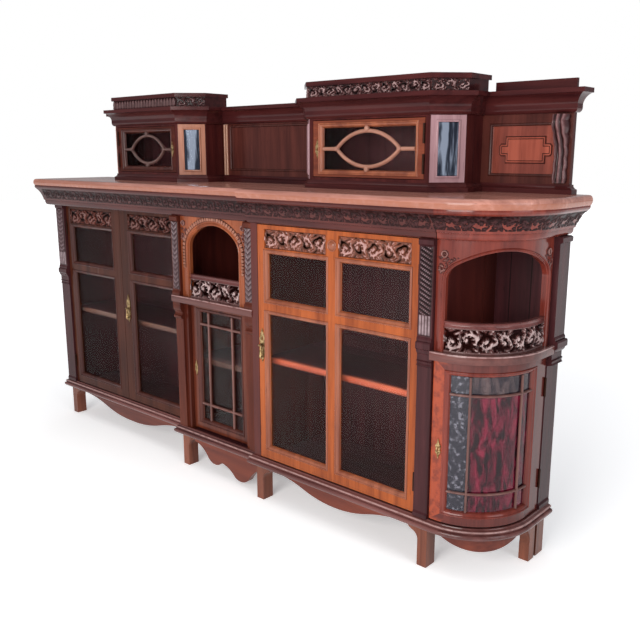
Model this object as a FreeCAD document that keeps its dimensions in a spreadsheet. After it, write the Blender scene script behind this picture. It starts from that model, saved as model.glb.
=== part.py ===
import FreeCAD, Part
import Sketcher
import math
import os

# Display sideboard. Millimetres, +Z up, the front faces -Y, the quarter-round end is at +X.
# The origin is on the floor under the middle of the overall width and depth.
# From left to right the base has section A (two doors), section B (arched niche over a
# small door), section C (one wide door) and the curved end (niche over a curved door).

doc = FreeCAD.newDocument("display_sideboard")
sheet = doc.addObject("Spreadsheet::Sheet", "Sizes")


class Size:
    """A length known both as a number and as a formula on the sheet of sizes."""

    def __init__(self, value, formula=None):
        self.value = float(value)
        self.formula = formula if formula else repr(float(value))

    def join(self, other, sign, value):
        return Size(value, "(" + self.formula + sign + as_size(other).formula + ")")

    def __add__(self, other):
        return self.join(other, " + ", self.value + as_size(other).value)

    def __radd__(self, other):
        return as_size(other) + self

    def __sub__(self, other):
        return self.join(other, " - ", self.value - as_size(other).value)

    def __rsub__(self, other):
        return as_size(other) - self

    def __mul__(self, other):
        return self.join(other, " * ", self.value * as_size(other).value)

    def __rmul__(self, other):
        return as_size(other) * self

    def __truediv__(self, other):
        return self.join(other, " / ", self.value / as_size(other).value)

    def __neg__(self):
        return as_size(0) - self

    def root(self):
        return Size(math.sqrt(self.value), "sqrt(" + self.formula + ")")


def as_size(number):
    return number if isinstance(number, Size) else Size(number)


sheet_rows = 0


def size(alias, value):
    """Write one driving dimension on the sheet and return it."""
    global sheet_rows
    sheet_rows += 1
    cell = "B" + str(sheet_rows)
    sheet.set("A" + str(sheet_rows), alias)
    sheet.set(cell, str(value))
    sheet.setAlias(cell, alias)
    return Size(value, "Sizes." + alias)


# Overall sizes of the base
base_height = size("base_height", 1000)
body_depth = size("body_depth", 316)
overhang = size("overhang", 62)
overhang_left = size("overhang_left", 40)
section_a = size("section_a", 810)
section_b = size("section_b", 402)
section_c = size("section_c", 668)
end_radius = size("end_radius", 176)
end_flat = size("end_flat", 16)
end_side_flat = size("end_side_flat", 66)
setback_a = size("setback_a", 57)
setback_b = size("setback_b", 18)

# Heights in the base
foot_height = size("foot_height", 122)
moulding_height = size("moulding_height", 28)
moulding_reach = size("moulding_reach", 19)
cornice_drop = size("cornice_drop", 77)
top_thick = size("top_thick", 26)
ledge_thick = size("ledge_thick", 21)
ledge_reach = size("ledge_reach", 19)

# Boards
side_thick = size("side_thick", 24)
partition_thick = size("partition_thick", 22)
divider_face = size("divider_face", 28)
floor_thick = size("floor_thick", 20)
shelf_thick = size("shelf_thick", 18)
shelf_setback = size("shelf_setback", 40)
back_thick = size("back_thick", 12)
board_count = 9

# Doors
door_thick = size("door_thick", 22)
door_gap = size("door_gap", 2)
door_lift = size("door_lift", 3)
bevel = size("bevel", 9)
glass_depth = size("glass_depth", 11)
glass_thick = size("glass_thick", 3)
glass_lip = size("glass_lip", 6)
glass_clear = size("glass_clear", 0.5)
leaf_stile = size("leaf_stile", 38)
meeting_stile = size("meeting_stile", 62)
door_c_stile = size("door_c_stile", 38)
muntin = size("muntin", 54)
door_rail = size("door_rail", 42)
middle_rail = size("middle_rail", 50)
head_drop = size("head_drop", 90)
frieze_height = size("frieze_height", 58)
frieze_sunk = size("frieze_sunk", 4)
frieze_margin = size("frieze_margin", 17)
door_b_width = size("door_b_width", 282)
door_b_recess = size("door_b_recess", 17)
door_b_stile = size("door_b_stile", 40)
door_b_rail = size("door_b_rail", 28)
glazing_bar = size("glazing_bar", 8)
glazing_inset = size("glazing_inset", 38)

# Hinges and brasses
barrel_radius = size("barrel_radius", 3)
barrel_length = size("barrel_length", 26)
pin_radius = size("pin_radius", 1.2)
pin_clear = size("pin_clear", 0.05)
pin_cap = size("pin_cap", 4)
barrel_gap = size("barrel_gap", 0.3)
hinge_leaf = size("hinge_leaf", 0.9)
hinge_reach = size("hinge_reach", 16)
hinge_inset = size("hinge_inset", 90)
brass_thick = size("brass_thick", 2)
pull_width = size("pull_width", 24)
pull_height = size("pull_height", 108)
ear_stand = size("ear_stand", 7.5)
ear_half = size("ear_half", 3.2)
drop_length = size("drop_length", 44)
drop_radius = size("drop_radius", 5.5)
drop_neck = size("drop_neck", 1.7)
drop_eye = size("drop_eye", 3)
drop_eye_half = size("drop_eye_half", 4)
keyhole_width = size("keyhole_width", 16)
keyhole_height = size("keyhole_height", 56)
keyhole_slot = size("keyhole_slot", 3)

# Niches, pilasters and aprons
arch_thick = size("arch_thick", 18)
arch_half = size("arch_half", 124)
arch_rise = size("arch_rise", 84)
arch_drop = size("arch_drop", 107)
arch_corner = size("arch_corner", 60)
arch_end_start = 3
arch_end_stop = size("arch_end_stop", 47)
arch_end_rise = size("arch_end_rise", 78)
arch_end_drop = size("arch_end_drop", 102)
arch_end_corner = size("arch_end_corner", 52)
gallery_height = size("gallery_height", 79)
gallery_thick = size("gallery_thick", 12)
gallery_rail = size("gallery_rail", 15)
pilaster_b_width = size("pilaster_b_width", 40)
pilaster_c_width = size("pilaster_c_width", 44)
pilaster_left_width = size("pilaster_left_width", 58)
pilaster_end_reach = size("pilaster_end_reach", 22)
pilaster_reach = size("pilaster_reach", 15)
apron_thick = size("apron_thick", 20)
apron_a_drop = size("apron_a_drop", 62)
apron_b_drop = size("apron_b_drop", 98)
apron_c_drop = size("apron_c_drop", 52)
foot_end_inset = size("foot_end_inset", 5)
apron_end_drop = size("apron_end_drop", 42)
foot_width = size("foot_width", 30)
foot_bracket = size("foot_bracket", 36)
foot_depth = size("foot_depth", 42)

# Upper stage
upper_height = size("upper_height", 260)
crest_height = size("crest_height", 47)
crest_board = size("crest_board", 13)
upper_floor = size("upper_floor", 24)
upper_cornice = size("upper_cornice", 58)
upper_reach = size("upper_reach", 40)
plinth_reach = size("plinth_reach", 14)
bay_depth = size("bay_depth", 18)
cabinet_depth = size("cabinet_depth", 170)
cant = size("cant", 70)
cabinet_right = size("cabinet_right", 428)
cabinet_left = size("cabinet_left", 377)
cabinet_right_left = size("cabinet_right_left", 557)
cabinet_left_left = size("cabinet_left_left", 1567)
bay_right_end = size("bay_right_end", 196)
bay_left_end = size("bay_left_end", 1760)
upper_door_stile = size("upper_door_stile", 34)
upper_door_rail = size("upper_door_rail", 20)
upper_door_thick = size("upper_door_thick", 16)
upper_wall = size("upper_wall", 14)
tracery_half = size("tracery_half", 113)
tracery_rise = size("tracery_rise", 50)
tracery_bar = size("tracery_bar", 8)
mirror_width = size("mirror_width", 56)
mirror_thick = size("mirror_thick", 4)
panel_frame_thick = size("panel_frame_thick", 12)
console_width = size("console_width", 44)
console_reach = size("console_reach", 46)
gallery_back_height = size("gallery_back_height", 26)
gallery_back_thick = size("gallery_back_thick", 10)
gallery_margin = size("gallery_margin", 30)
roof_thick = size("roof_thick", 10)

# Places that follow from the driving sizes
width_all = overhang + overhang_left + section_a + section_b + section_c + end_flat + end_radius
depth_all = overhang + body_depth
x_a = overhang_left - width_all / 2
x_b = x_a + section_a
x_c = x_b + section_b
x_end = x_c + section_c
x_round = x_end + end_flat
x_right = x_round + end_radius
y_c = overhang - depth_all / 2
y_b = y_c + setback_b
y_a = y_c + setback_a
y_back = depth_all / 2
y_inner = y_back - back_thick
y_round = y_c + end_radius
y_side = y_round + end_side_flat
y_cornice_ab = y_b - overhang_left
floor_top = foot_height + floor_thick
top_under = base_height - top_thick
cornice_bottom = top_under - cornice_drop
niche_b_floor = base_height * 0.604
niche_end_floor = base_height * 0.594
shelf_a_level = base_height * 0.452
shelf_b_level = base_height * 0.38
shelf_c_level = base_height * 0.458
shelf_end_level = base_height * 0.372
middle_level = base_height * 0.6455
pull_level = base_height * 0.522
head_level = cornice_bottom - head_drop
arch_spring = cornice_bottom - arch_drop
arch_end_spring = cornice_bottom - arch_end_drop
gallery_top = niche_b_floor + ledge_thick + gallery_height
gallery_end_top = niche_end_floor + ledge_thick + gallery_height
door_bottom = foot_height + moulding_height + door_lift
door_top = cornice_bottom - door_lift


def bind(item, prop, amount):
    item.setExpression(prop, as_size(amount).formula)


def place(item, x, y, z, turn=0, axis=FreeCAD.Vector(0, 0, 1)):
    """Put an object at a point of the part, turned by an angle about an axis."""
    point = FreeCAD.Vector(as_size(x).value, as_size(y).value, as_size(z).value)
    item.Placement = FreeCAD.Placement(point, FreeCAD.Rotation(axis, turn))
    bind(item, "Placement.Base.x", x)
    bind(item, "Placement.Base.y", y)
    bind(item, "Placement.Base.z", z)
    return item


def block(name, x, y, z, dx, dy, dz):
    item = doc.addObject("Part::Box", name)
    bind(item, "Length", dx)
    bind(item, "Width", dy)
    bind(item, "Height", dz)
    return place(item, x, y, z)


def cylinder(name, x, y, z, radius, height, sweep=360, turn=0, axis=FreeCAD.Vector(0, 0, 1)):
    item = doc.addObject("Part::Cylinder", name)
    bind(item, "Radius", radius)
    bind(item, "Height", height)
    item.Angle = sweep
    return place(item, x, y, z, turn, axis)


rod_sides = 8


def prism(name, x, y, z, radius, height, turn=0, axis=FreeCAD.Vector(0, 0, 1)):
    """An eight-sided rod for the small round brasses that repeat on every door."""
    item = doc.addObject("Part::Prism", name)
    item.Polygon = rod_sides
    bind(item, "Circumradius", radius)
    bind(item, "Height", height)
    return place(item, x, y, z, turn, axis)


def cut(name, base, tool):
    item = doc.addObject("Part::Cut", name)
    item.Base = base
    item.Tool = tool
    return item


def common(name, base, tool):
    item = doc.addObject("Part::Common", name)
    item.Base = base
    item.Tool = tool
    return item


def fuse(name, pieces):
    item = doc.addObject("Part::MultiFuse", name)
    item.Shapes = pieces
    return item


def group(name, pieces):
    item = doc.addObject("Part::Compound", name)
    item.Links = pieces
    return item


def ring(name, z, outer, inner, height, start, sweep):
    """A sector of a ring about the axis of the curved end. Angle 0 points to the front
    and 90 to the right side."""
    whole = cylinder(name + "_outer", x_round, y_round, z, outer, height, sweep, start - 90)
    bore = cylinder(name + "_inner", x_round, y_round, z, inner, height)
    return cut(name, whole, bore)


def new_body(name, x=0, y=0, z=0, turn=0):
    return place(doc.addObject("PartDesign::Body", name), x, y, z, turn)


def new_sketch(body, name, role, level=0):
    """A sketch on one of the body's own origin planes, or a level along its normal."""
    plane = [item for item in body.Origin.OriginFeatures if item.Role == role][0]
    sketch = body.newObject("Sketcher::SketchObject", name)
    sketch.AttachmentSupport = (plane, [""])
    sketch.MapMode = "FlatFace"
    bind(sketch, "AttachmentOffset.Base.z", level)
    return sketch


def point(corner):
    return FreeCAD.Vector(as_size(corner[0]).value, as_size(corner[1]).value, 0)


def arc_geometry(start, end, radius):
    """The short arc from start to end, turning left for a positive radius."""
    chord = end - start
    half = chord.Length / 2
    rise = math.sqrt(max(radius * radius - half * half, 0))
    left = FreeCAD.Vector(-chord.y, chord.x, 0).normalize()
    side = 1 if radius > 0 else -1
    centre = start + chord * 0.5 + left * (rise * side)
    first, last = (start, end) if radius > 0 else (end, start)
    begin = math.atan2(first.y - centre.y, first.x - centre.x)
    finish = math.atan2(last.y - centre.y, last.x - centre.x)
    if finish <= begin:
        finish += 2 * math.pi
    circle = Part.Circle(centre, FreeCAD.Vector(0, 0, 1), abs(radius))
    return Part.ArcOfCircle(circle, begin, finish)


def outline(sketch, corners, closed=True):
    """Draw an outline whose corners are fixed by the sheet. A corner with a third value
    is reached by an arc of that radius, which turns left when it is positive."""
    base = sketch.GeometryCount
    pairs = [(corners[i - 1], corners[i]) for i in range(0 if closed else 1, len(corners))]
    ends = []
    for start, end in pairs:
        if len(end) > 2:
            radius = as_size(end[2])
            sketch.addGeometry(arc_geometry(point(start), point(end), radius.value), False)
            ends.append((1, 2) if radius.value > 0 else (2, 1))
        else:
            sketch.addGeometry(Part.LineSegment(point(start), point(end)), False)
            ends.append((1, 2))
    rules = []
    formulas = []
    for i in range(len(pairs)):
        here = base + i
        if i or closed:
            before = i - 1 if i else len(pairs) - 1
            rules.append(Sketcher.Constraint("Coincident", base + before, ends[before][1],
                                             here, ends[i][0]))
            formulas.append(None)
        fixed = [(pairs[i][1], ends[i][1])]
        if not closed and not i:
            fixed.append((pairs[i][0], ends[i][0]))
        for corner, vertex in fixed:
            for kind, amount in (("DistanceX", corner[0]), ("DistanceY", corner[1])):
                rules.append(Sketcher.Constraint(kind, -1, 1, here, vertex, as_size(amount).value))
                formulas.append(as_size(amount).formula)
        if len(pairs[i][1]) > 2:
            radius = as_size(pairs[i][1][2])
            wide = radius if radius.value > 0 else -radius
            rules.append(Sketcher.Constraint("Radius", here, wide.value))
            formulas.append(wide.formula)
    first = sketch.ConstraintCount
    sketch.addConstraint(rules)
    for i, formula in enumerate(formulas):
        if formula:
            sketch.setExpression("Constraints[" + str(first + i) + "]", formula)
    return sketch


def rectangle(sketch, left, bottom, right, top):
    return outline(sketch, [(left, bottom), (right, bottom), (right, top), (left, top)])


def pad(body, sketch, length, backwards=False):
    feature = body.newObject("PartDesign::Pad", sketch.Name + "_pad")
    feature.Profile = sketch
    bind(feature, "Length", length)
    feature.Reversed = backwards
    body.Tip = feature
    return feature


def pocket(body, sketch, length, backwards=False):
    """Cut a sketch into the body and see that it takes some of it away."""
    before = body.Tip
    feature = body.newObject("PartDesign::Pocket", sketch.Name + "_pocket")
    feature.Profile = sketch
    bind(feature, "Length", length)
    feature.Reversed = backwards
    body.Tip = feature
    doc.recompute()
    if feature.Shape.Volume > before.Shape.Volume - 1:
        raise RuntimeError("the pocket " + feature.Name + " cuts nothing")
    return feature


def soften(body, edges, amount, kind="PartDesign::Chamfer"):
    """Chamfer or round the named edges of the body's tip."""
    base = body.Tip
    feature = body.newObject(kind, body.Name + "_softened")
    feature.Base = (base, edges)
    bind(feature, "Size" if kind.endswith("Chamfer") else "Radius", amount)
    body.Tip = feature
    doc.recompute()
    return feature


def edges_where(body, test):
    names = []
    for i, edge in enumerate(body.Tip.Shape.Edges):
        if test(edge.BoundBox):
            names.append("Edge" + str(i + 1))
    return names


def sweep_moulding(name, path, profile, start_role, start_level, at):
    """A moulding of one profile carried along a plan outline with mitred corners."""
    body = new_body(name, *at)
    route = new_sketch(body, name + "_route", "XY_Plane")
    outline(route, path, closed=False)
    section = new_sketch(body, name + "_section", start_role, start_level)
    outline(section, profile)
    doc.recompute()
    pipe = body.newObject("PartDesign::AdditivePipe", name + "_sweep")
    pipe.Profile = section
    pipe.Spine = (route, ["Edge" + str(i + 1) for i in range(len(path) - 1)])
    pipe.Transition = "Right corner"
    body.Tip = pipe
    return body


nodes = []


def node(item, label):
    item.Label = label
    nodes.append(item)
    return item


axes = []


def note_axis(name, x, y, z):
    axes.append((name, as_size(x).value, as_size(y).value, as_size(z).value))


# Boards of the base

def build_boards():
    """Bottom boards, sides, partitions, back boards, shelves and niche floors."""
    bottom = fuse("bottom_run", [
        block("bottom_a", x_a, y_a, foot_height, section_a, y_inner - y_a, floor_thick),
        block("bottom_b", x_b, y_b, foot_height, section_b, y_inner - y_b, floor_thick),
        block("bottom_c", x_c, y_c, foot_height, section_c + end_flat, y_inner - y_c, floor_thick),
        block("bottom_side", x_round, y_round, foot_height, end_radius, y_inner - y_round, floor_thick),
        cylinder("bottom_round", x_round, y_round, foot_height, end_radius, floor_thick, 90, -90)])
    node(bottom, "bottom_boards")

    wall = top_under - floor_top
    node(block("side_left", x_a, y_a, floor_top, side_thick, y_inner - y_a, wall), "left_side_panel")
    behind = y_b + arch_thick
    node(block("divider_ab", x_b, behind, floor_top, partition_thick, y_inner - behind, wall),
         "partition_a_b")
    node(block("divider_bc", x_c, y_c, floor_top, divider_face, y_inner - y_c, wall), "partition_b_c")
    node(block("divider_end", x_end - partition_thick, y_c + door_thick, floor_top, partition_thick,
               y_inner - y_c - door_thick, wall), "partition_c_end")
    node(block("side_right", x_right - side_thick, y_side, floor_top, side_thick, y_inner - y_side, wall),
         "right_side_panel")

    pieces = []
    first = x_a
    pitch = (x_right - x_a) / board_count
    for i in range(board_count):
        pieces.append(block("back_board_" + str(i), first + pitch * i, y_inner, foot_height,
                            pitch, back_thick, top_under - foot_height))
    node(group("back_run", pieces), "back_boards")

    def shelf(name, left, right, front, level):
        return block(name, left, front, level, right - left, y_inner - front, shelf_thick)

    node(group("shelf_run", [
        shelf("shelf_a", x_a + side_thick, x_b, y_a + shelf_setback, shelf_a_level),
        shelf("shelf_b", x_b + partition_thick, x_c, y_b + shelf_setback + door_thick, shelf_b_level),
        shelf("shelf_c", x_c + divider_face, x_end - partition_thick, y_c + shelf_setback, shelf_c_level),
        rounded_shelf()]),
        "shelves")

    ledge_b = block("ledge_b", x_b, y_b - ledge_reach, niche_b_floor, section_b, arch_thick + ledge_reach,
                    ledge_thick)
    floor_b = block("floor_b", x_b + partition_thick, y_b, niche_b_floor, section_b - partition_thick,
                    y_inner - y_b, ledge_thick)
    node(group("niche_run", [fuse("niche_b", [ledge_b, floor_b]), rounded_ledge()]), "niche_floors")

    high = top_under - cornice_bottom
    deep = y_a + door_thick - y_b
    rail_a = fuse("rail_a", [
        block("rail_a_front", x_a, y_b, cornice_bottom, section_a, y_a - y_b, high),
        block("rail_a_back", x_a + side_thick, y_b, cornice_bottom, section_a - side_thick, deep, high)])
    rail_c = block("rail_c", x_c + divider_face, y_c, cornice_bottom, section_c - divider_face,
                   door_thick, high)
    node(group("rail_run", [rail_a, rail_c]), "head_rails")


def rounded_shelf():
    """The end's shelf: a quarter disc set back from the door and the board behind it."""
    radius = end_radius - shelf_setback
    clear = end_side_flat + door_gap
    body = new_body("shelf_end_body", x_round, y_round, shelf_end_level)
    plan = new_sketch(body, "shelf_end_plan", "XY_Plane")
    outline(plan, [
        (-end_flat, y_inner - y_round),
        (-end_flat, -radius),
        (0, -radius),
        (radius, 0, radius),
        (radius, clear),
        (end_radius - side_thick, clear),
        (end_radius - side_thick, y_inner - y_round)])
    pad(body, plan, shelf_thick)
    return body


def rounded_ledge():
    """The end's niche floor: its moulded front edge follows the curve past the frame."""
    reach = end_radius + ledge_reach
    body = new_body("ledge_end_body", x_round, y_round, niche_end_floor)
    plan = new_sketch(body, "ledge_end_plan", "XY_Plane")
    outline(plan, [
        (-end_flat, y_inner - y_round),
        (-end_flat, -reach),
        (0, -reach),
        (reach, 0, reach),
        (reach, end_side_flat),
        (end_radius - side_thick, end_side_flat),
        (end_radius - side_thick, y_inner - y_round)])
    pad(body, plan, ledge_thick)
    return body


# Mouldings, top and cornices of the base

def build_mouldings():
    """The base moulding: one profile carried round the left side, along the three stepped
    fronts and round the curved end."""
    thick = moulding_height
    lower = thick * 0.45
    reach = moulding_reach
    profile = [
        (0, 0),
        (-reach, 0),
        (-reach, lower),
        (-reach * 0.7, lower * 1.2),
        (-reach * 0.75, thick * 0.8, reach * 0.8),
        (-reach * 0.4, thick),
        (0, thick)]
    corners = [
        (x_a, y_inner),
        (x_a, y_a),
        (x_b, y_a),
        (x_b, y_b),
        (x_c, y_b),
        (x_c, y_c),
        (x_round, y_c),
        (x_right, y_round),
        (x_right, y_inner)]
    path = [(x - x_a, y - y_inner) for x, y in corners]
    path[7] = path[7] + (end_radius,)
    node(sweep_moulding("base_moulding_body", path, profile, "XZ_Plane", 0, (x_a, y_inner, foot_height)),
         "base_moulding")


def cornice_profile(drop, reach):
    """Ovolo, deep cavetto and fillet under the nosing, drawn out from the face."""
    return [
        (0, -drop),
        (-reach * 0.16, -drop),
        (-reach * 0.30, -drop * 0.86, reach * 0.16),
        (-reach * 0.30, -drop * 0.66),
        (-reach * 0.42, -drop * 0.62),
        (-reach * 0.88, -drop * 0.1, -drop * 0.62),
        (-reach * 0.88, 0),
        (0, 0)]


def build_cornices():
    """The cornice in three lengths: the left return with sections A and B, section C,
    and the curved end, which meets section C on a slanted mitre."""
    drop = top_under - cornice_bottom
    front = y_b - y_back
    node(sweep_moulding("cornice_a_body", [(0, 0), (0, front), (section_a + section_b, front)],
                        cornice_profile(drop, overhang_left), "XZ_Plane", 0, (x_a, y_back, top_under)),
         "cornice_a_b")

    profile = cornice_profile(drop, overhang)
    run = new_body("cornice_c_body", x_c, y_c, top_under)
    section = new_sketch(run, "cornice_c_section", "YZ_Plane")
    outline(section, profile)
    pad(run, section, section_c + end_flat)
    mitre = new_sketch(run, "cornice_c_mitre", "XY_Plane", -drop)
    slope = 0.4
    outline(mitre, [
        (section_c, 0),
        (section_c + overhang * slope, -overhang),
        (section_c + end_flat + overhang, -overhang),
        (section_c + end_flat + overhang, 0)])
    pocket(run, mitre, drop, backwards=True)
    node(run, "cornice_c")

    bend = sweep_moulding("cornice_end_body", [
        (0, 0),
        (end_flat, 0),
        (end_flat + end_radius, end_radius, end_radius),
        (end_flat + end_radius, y_back - y_c)],
        profile, "YZ_Plane", 0, (x_end, y_c, top_under))
    gap = door_gap / 4
    mitre = new_sketch(bend, "cornice_end_mitre", "XY_Plane", -drop)
    outline(mitre, [
        (-overhang, 0),
        (-overhang, -overhang),
        (overhang * slope + gap, -overhang),
        (gap, 0)])
    doc.recompute()
    pocket(bend, mitre, drop, backwards=True)
    node(bend, "cornice_end")


def build_top():
    """The top board, its plan stepped forward over section C and rounded at the end."""
    left = x_a - overhang_left
    body = new_body("top_body", left, 0, top_under)
    plan = new_sketch(body, "top_plan", "XY_Plane")
    reach = end_radius + overhang
    outline(plan, [
        (0, y_back),
        (0, y_cornice_ab),
        (x_c - left, y_cornice_ab),
        (x_c - left, y_c - overhang),
        (x_round - left, y_c - overhang),
        (x_round + reach - left, y_round, reach),
        (x_round + reach - left, y_back)])
    pad(body, plan, top_thick)
    doc.recompute()
    limit = y_back.value - 1
    high = top_thick.value - 0.01
    soften(body, edges_where(body, lambda box: box.ZMin > high and box.YMin < limit),
           top_thick * 0.45, "PartDesign::Fillet")
    soften(body, edges_where(body, lambda box: box.ZMax < 0.01 and box.YMin < limit), top_thick * 0.3)
    node(body, "top_board")


# Feet and aprons

def foot(name, x, y, bracket_side):
    """A square post with a shaped bracket beside it, cut from one block."""
    body = new_body(name, x, y, 0)
    face = new_sketch(body, name + "_face", "XZ_Plane")
    side = bracket_side
    width = foot_width * side
    reach = (foot_width + foot_bracket) * side
    corners = [
        (0, 0),
        (width, 0),
        (width, foot_height * 0.62),
        (width + foot_bracket * 0.4 * side, foot_height * 0.8, foot_bracket * -0.7 * side),
        (reach, foot_height - 8, foot_bracket * 0.9 * side),
        (reach, foot_height),
        (0, foot_height)]
    outline(face, corners)
    pad(body, face, foot_depth, backwards=True)
    return body


def build_feet():
    """Bracket feet under the front and plain blocks under the back."""
    inset = 4
    post = foot_width
    pieces = [
        foot("foot_a", x_a + inset, y_a + inset, 1),
        foot("foot_b", x_b + inset, y_b + inset, 1),
        foot("foot_c", x_c + inset, y_c + inset, 1),
        foot("foot_end", x_end - foot_end_inset, y_c + inset, -1)]
    back = y_inner - foot_depth
    for i, x in enumerate((x_a + inset, x_b, x_c, x_end - post, x_right - post - inset)):
        pieces.append(block("foot_back_" + str(i), x, back, 0, post, foot_depth, foot_height))
    side_foot = new_body("foot_side", x_right - inset - post, back - inset * 3 - post, 0)
    face = new_sketch(side_foot, "foot_side_face", "YZ_Plane")
    outline(face, [
        (0, 0),
        (post, 0),
        (post, foot_height),
        (-foot_bracket, foot_height),
        (-foot_bracket, foot_height - 12),
        (0, foot_height * 0.4, -foot_bracket * 1.4)])
    pad(side_foot, face, post)
    pieces.append(side_foot)
    node(group("feet", pieces), "bracket_feet")


def build_aprons():
    inset = 4
    reach = foot_width + foot_bracket + inset
    start_a = x_a + reach
    apron_a = serpentine("apron_a_body", start_a, y_a + inset, x_b + inset - start_a, apron_a_drop)
    start_b = x_b + reach
    apron_b = scalloped("apron_b_body", start_b, y_b + inset, x_c + inset - start_b, apron_b_drop)
    start_c = x_c + reach
    stop_c = x_end - foot_end_inset + inset - reach
    apron_c = serpentine("apron_c_body", start_c, y_c + inset, stop_c - start_c, apron_c_drop)
    node(group("apron_run", [apron_a, apron_b, apron_c]), "front_aprons")
    deep = apron_end_drop * 0.2
    start_end = x_end - foot_end_inset
    flat = block("apron_end_flat", start_end, y_c + inset, foot_height - deep,
                 x_round - start_end, apron_thick, deep)
    node(group("apron_end_boards", [flat, curved_apron()]), "apron_end")


def serpentine(name, x, y, length, drop):
    """An apron with a shallow rise at each end and one broad drop in the middle."""
    body = new_body(name, x, y, foot_height)
    face = new_sketch(body, name + "_face", "XZ_Plane")
    shallow = drop * 0.2
    sweep = length * 0.75
    outline(face, [
        (0, 0),
        (0, -shallow),
        (length * 0.26, -drop * 0.6, -sweep),
        (length * 0.5, -drop, sweep),
        (length * 0.74, -drop * 0.6, sweep),
        (length, -shallow, -sweep),
        (length, 0)])
    pad(body, face, apron_thick, backwards=True)
    return body


def scalloped(name, x, y, length, drop):
    """An apron with a cusped side lobe and one deep lobe."""
    body = new_body(name, x, y, foot_height)
    face = new_sketch(body, name + "_face", "XZ_Plane")
    outline(face, [
        (0, 0),
        (0, -drop * 0.2),
        (length * 0.2, -drop * 0.6, -length * 0.3),
        (length * 0.42, -drop * 0.66, length * 0.14),
        (length * 0.62, -drop, -length * 0.3),
        (length * 0.82, -drop * 0.9, length * 0.16),
        (length, -drop * 0.35, -length * 0.4),
        (length, 0)])
    pad(body, face, apron_thick, backwards=True)
    return body


def curved_apron():
    """The end's apron: a curved board whose lower edge hangs as one shallow bow."""
    outer = end_radius - 4
    board = ring("apron_end_ring", foot_height - apron_end_drop, outer, outer - apron_thick,
                 apron_end_drop, 0, 88)
    bow = new_body("apron_end_bow", x_round, y_round, foot_height, 45)
    face = new_sketch(bow, "apron_end_face", "XZ_Plane")
    half = end_radius
    rise = apron_end_drop
    chord = end_radius * 0.68
    radius = (chord * chord + rise * rise * 0.64) / (rise * 1.6)
    outline(face, [
        (-half, 0),
        (-half, -rise * 0.2),
        (-chord, -rise * 0.2),
        (0, -rise, radius),
        (chord, -rise * 0.2, radius),
        (half, -rise * 0.2),
        (half, 0)])
    pad(bow, face, end_radius)
    return common("apron_end_cut", board, bow)


# Niches

def arch_outline(half, spring, rise, corner, bottom):
    """A three-centred arch: two tight corner arcs and one broad crown, all tangent."""
    crown = (half * half + rise * rise - half * corner * 2) / ((rise - corner) * 2)
    reach = half - corner
    sink = crown - rise
    slant = (reach * reach + sink * sink).root()
    join_x = reach + corner * reach / slant
    join_z = spring + corner * sink / slant
    return [
        (-half, bottom),
        (half, bottom),
        (half, spring),
        (join_x, join_z, corner),
        (-join_x, join_z, crown),
        (-half, spring, corner)]


def pierced_sketch(sketch, half, bottom, top, count):
    """Two rows of lozenge piercings, the lower row shifted by half a pitch."""
    pitch = half * 2 / count
    wide = pitch * 0.36
    tall = (top - bottom) * 0.26

    def lozenge(x, z):
        outline(sketch, [(x, z - tall), (x + wide, z), (x, z + tall), (x - wide, z)])

    for i in range(count):
        lozenge(pitch * (i + 0.5) - half, bottom + (top - bottom) * 0.71)
        if i:
            lozenge(pitch * i - half, bottom + (top - bottom) * 0.3)


def build_niche_b():
    middle = x_b + section_b / 2
    floor = niche_b_floor + ledge_thick
    frame = new_body("arch_b_body", middle, y_b, 0)
    face = new_sketch(frame, "arch_b_face", "XZ_Plane")
    wide = section_b / 2
    rectangle(face, -wide, floor, wide, top_under)
    pad(frame, face, arch_thick, backwards=True)
    hole = new_sketch(frame, "arch_b_hole", "XZ_Plane")
    outline(hole, arch_outline(arch_half, arch_spring, arch_rise, arch_corner, floor - 5))
    doc.recompute()
    pocket(frame, hole, arch_thick)
    node(frame, "arch_frame_b")

    gallery = new_body("gallery_b_body", middle, y_b + 2, 0)
    face = new_sketch(gallery, "gallery_b_face", "XZ_Plane")
    rectangle(face, -arch_half, floor, arch_half, gallery_top - gallery_rail)
    pad(gallery, face, gallery_thick, backwards=True)
    rail = new_sketch(gallery, "gallery_b_rail", "YZ_Plane", -arch_half)
    top = gallery_top
    low = gallery_top - gallery_rail
    outline(rail, [
        (0, low - 1),
        (-4, low),
        (-4, top, -gallery_rail * 0.6),
        (gallery_thick, top),
        (gallery_thick, low - 1)])
    pad(gallery, rail, arch_half * 2)
    holes = new_sketch(gallery, "gallery_b_holes", "XZ_Plane")
    pierced_sketch(holes, arch_half - 8, floor + 2, low, 8)
    doc.recompute()
    pocket(gallery, holes, gallery_thick)
    node(gallery, "gallery_b")


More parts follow.
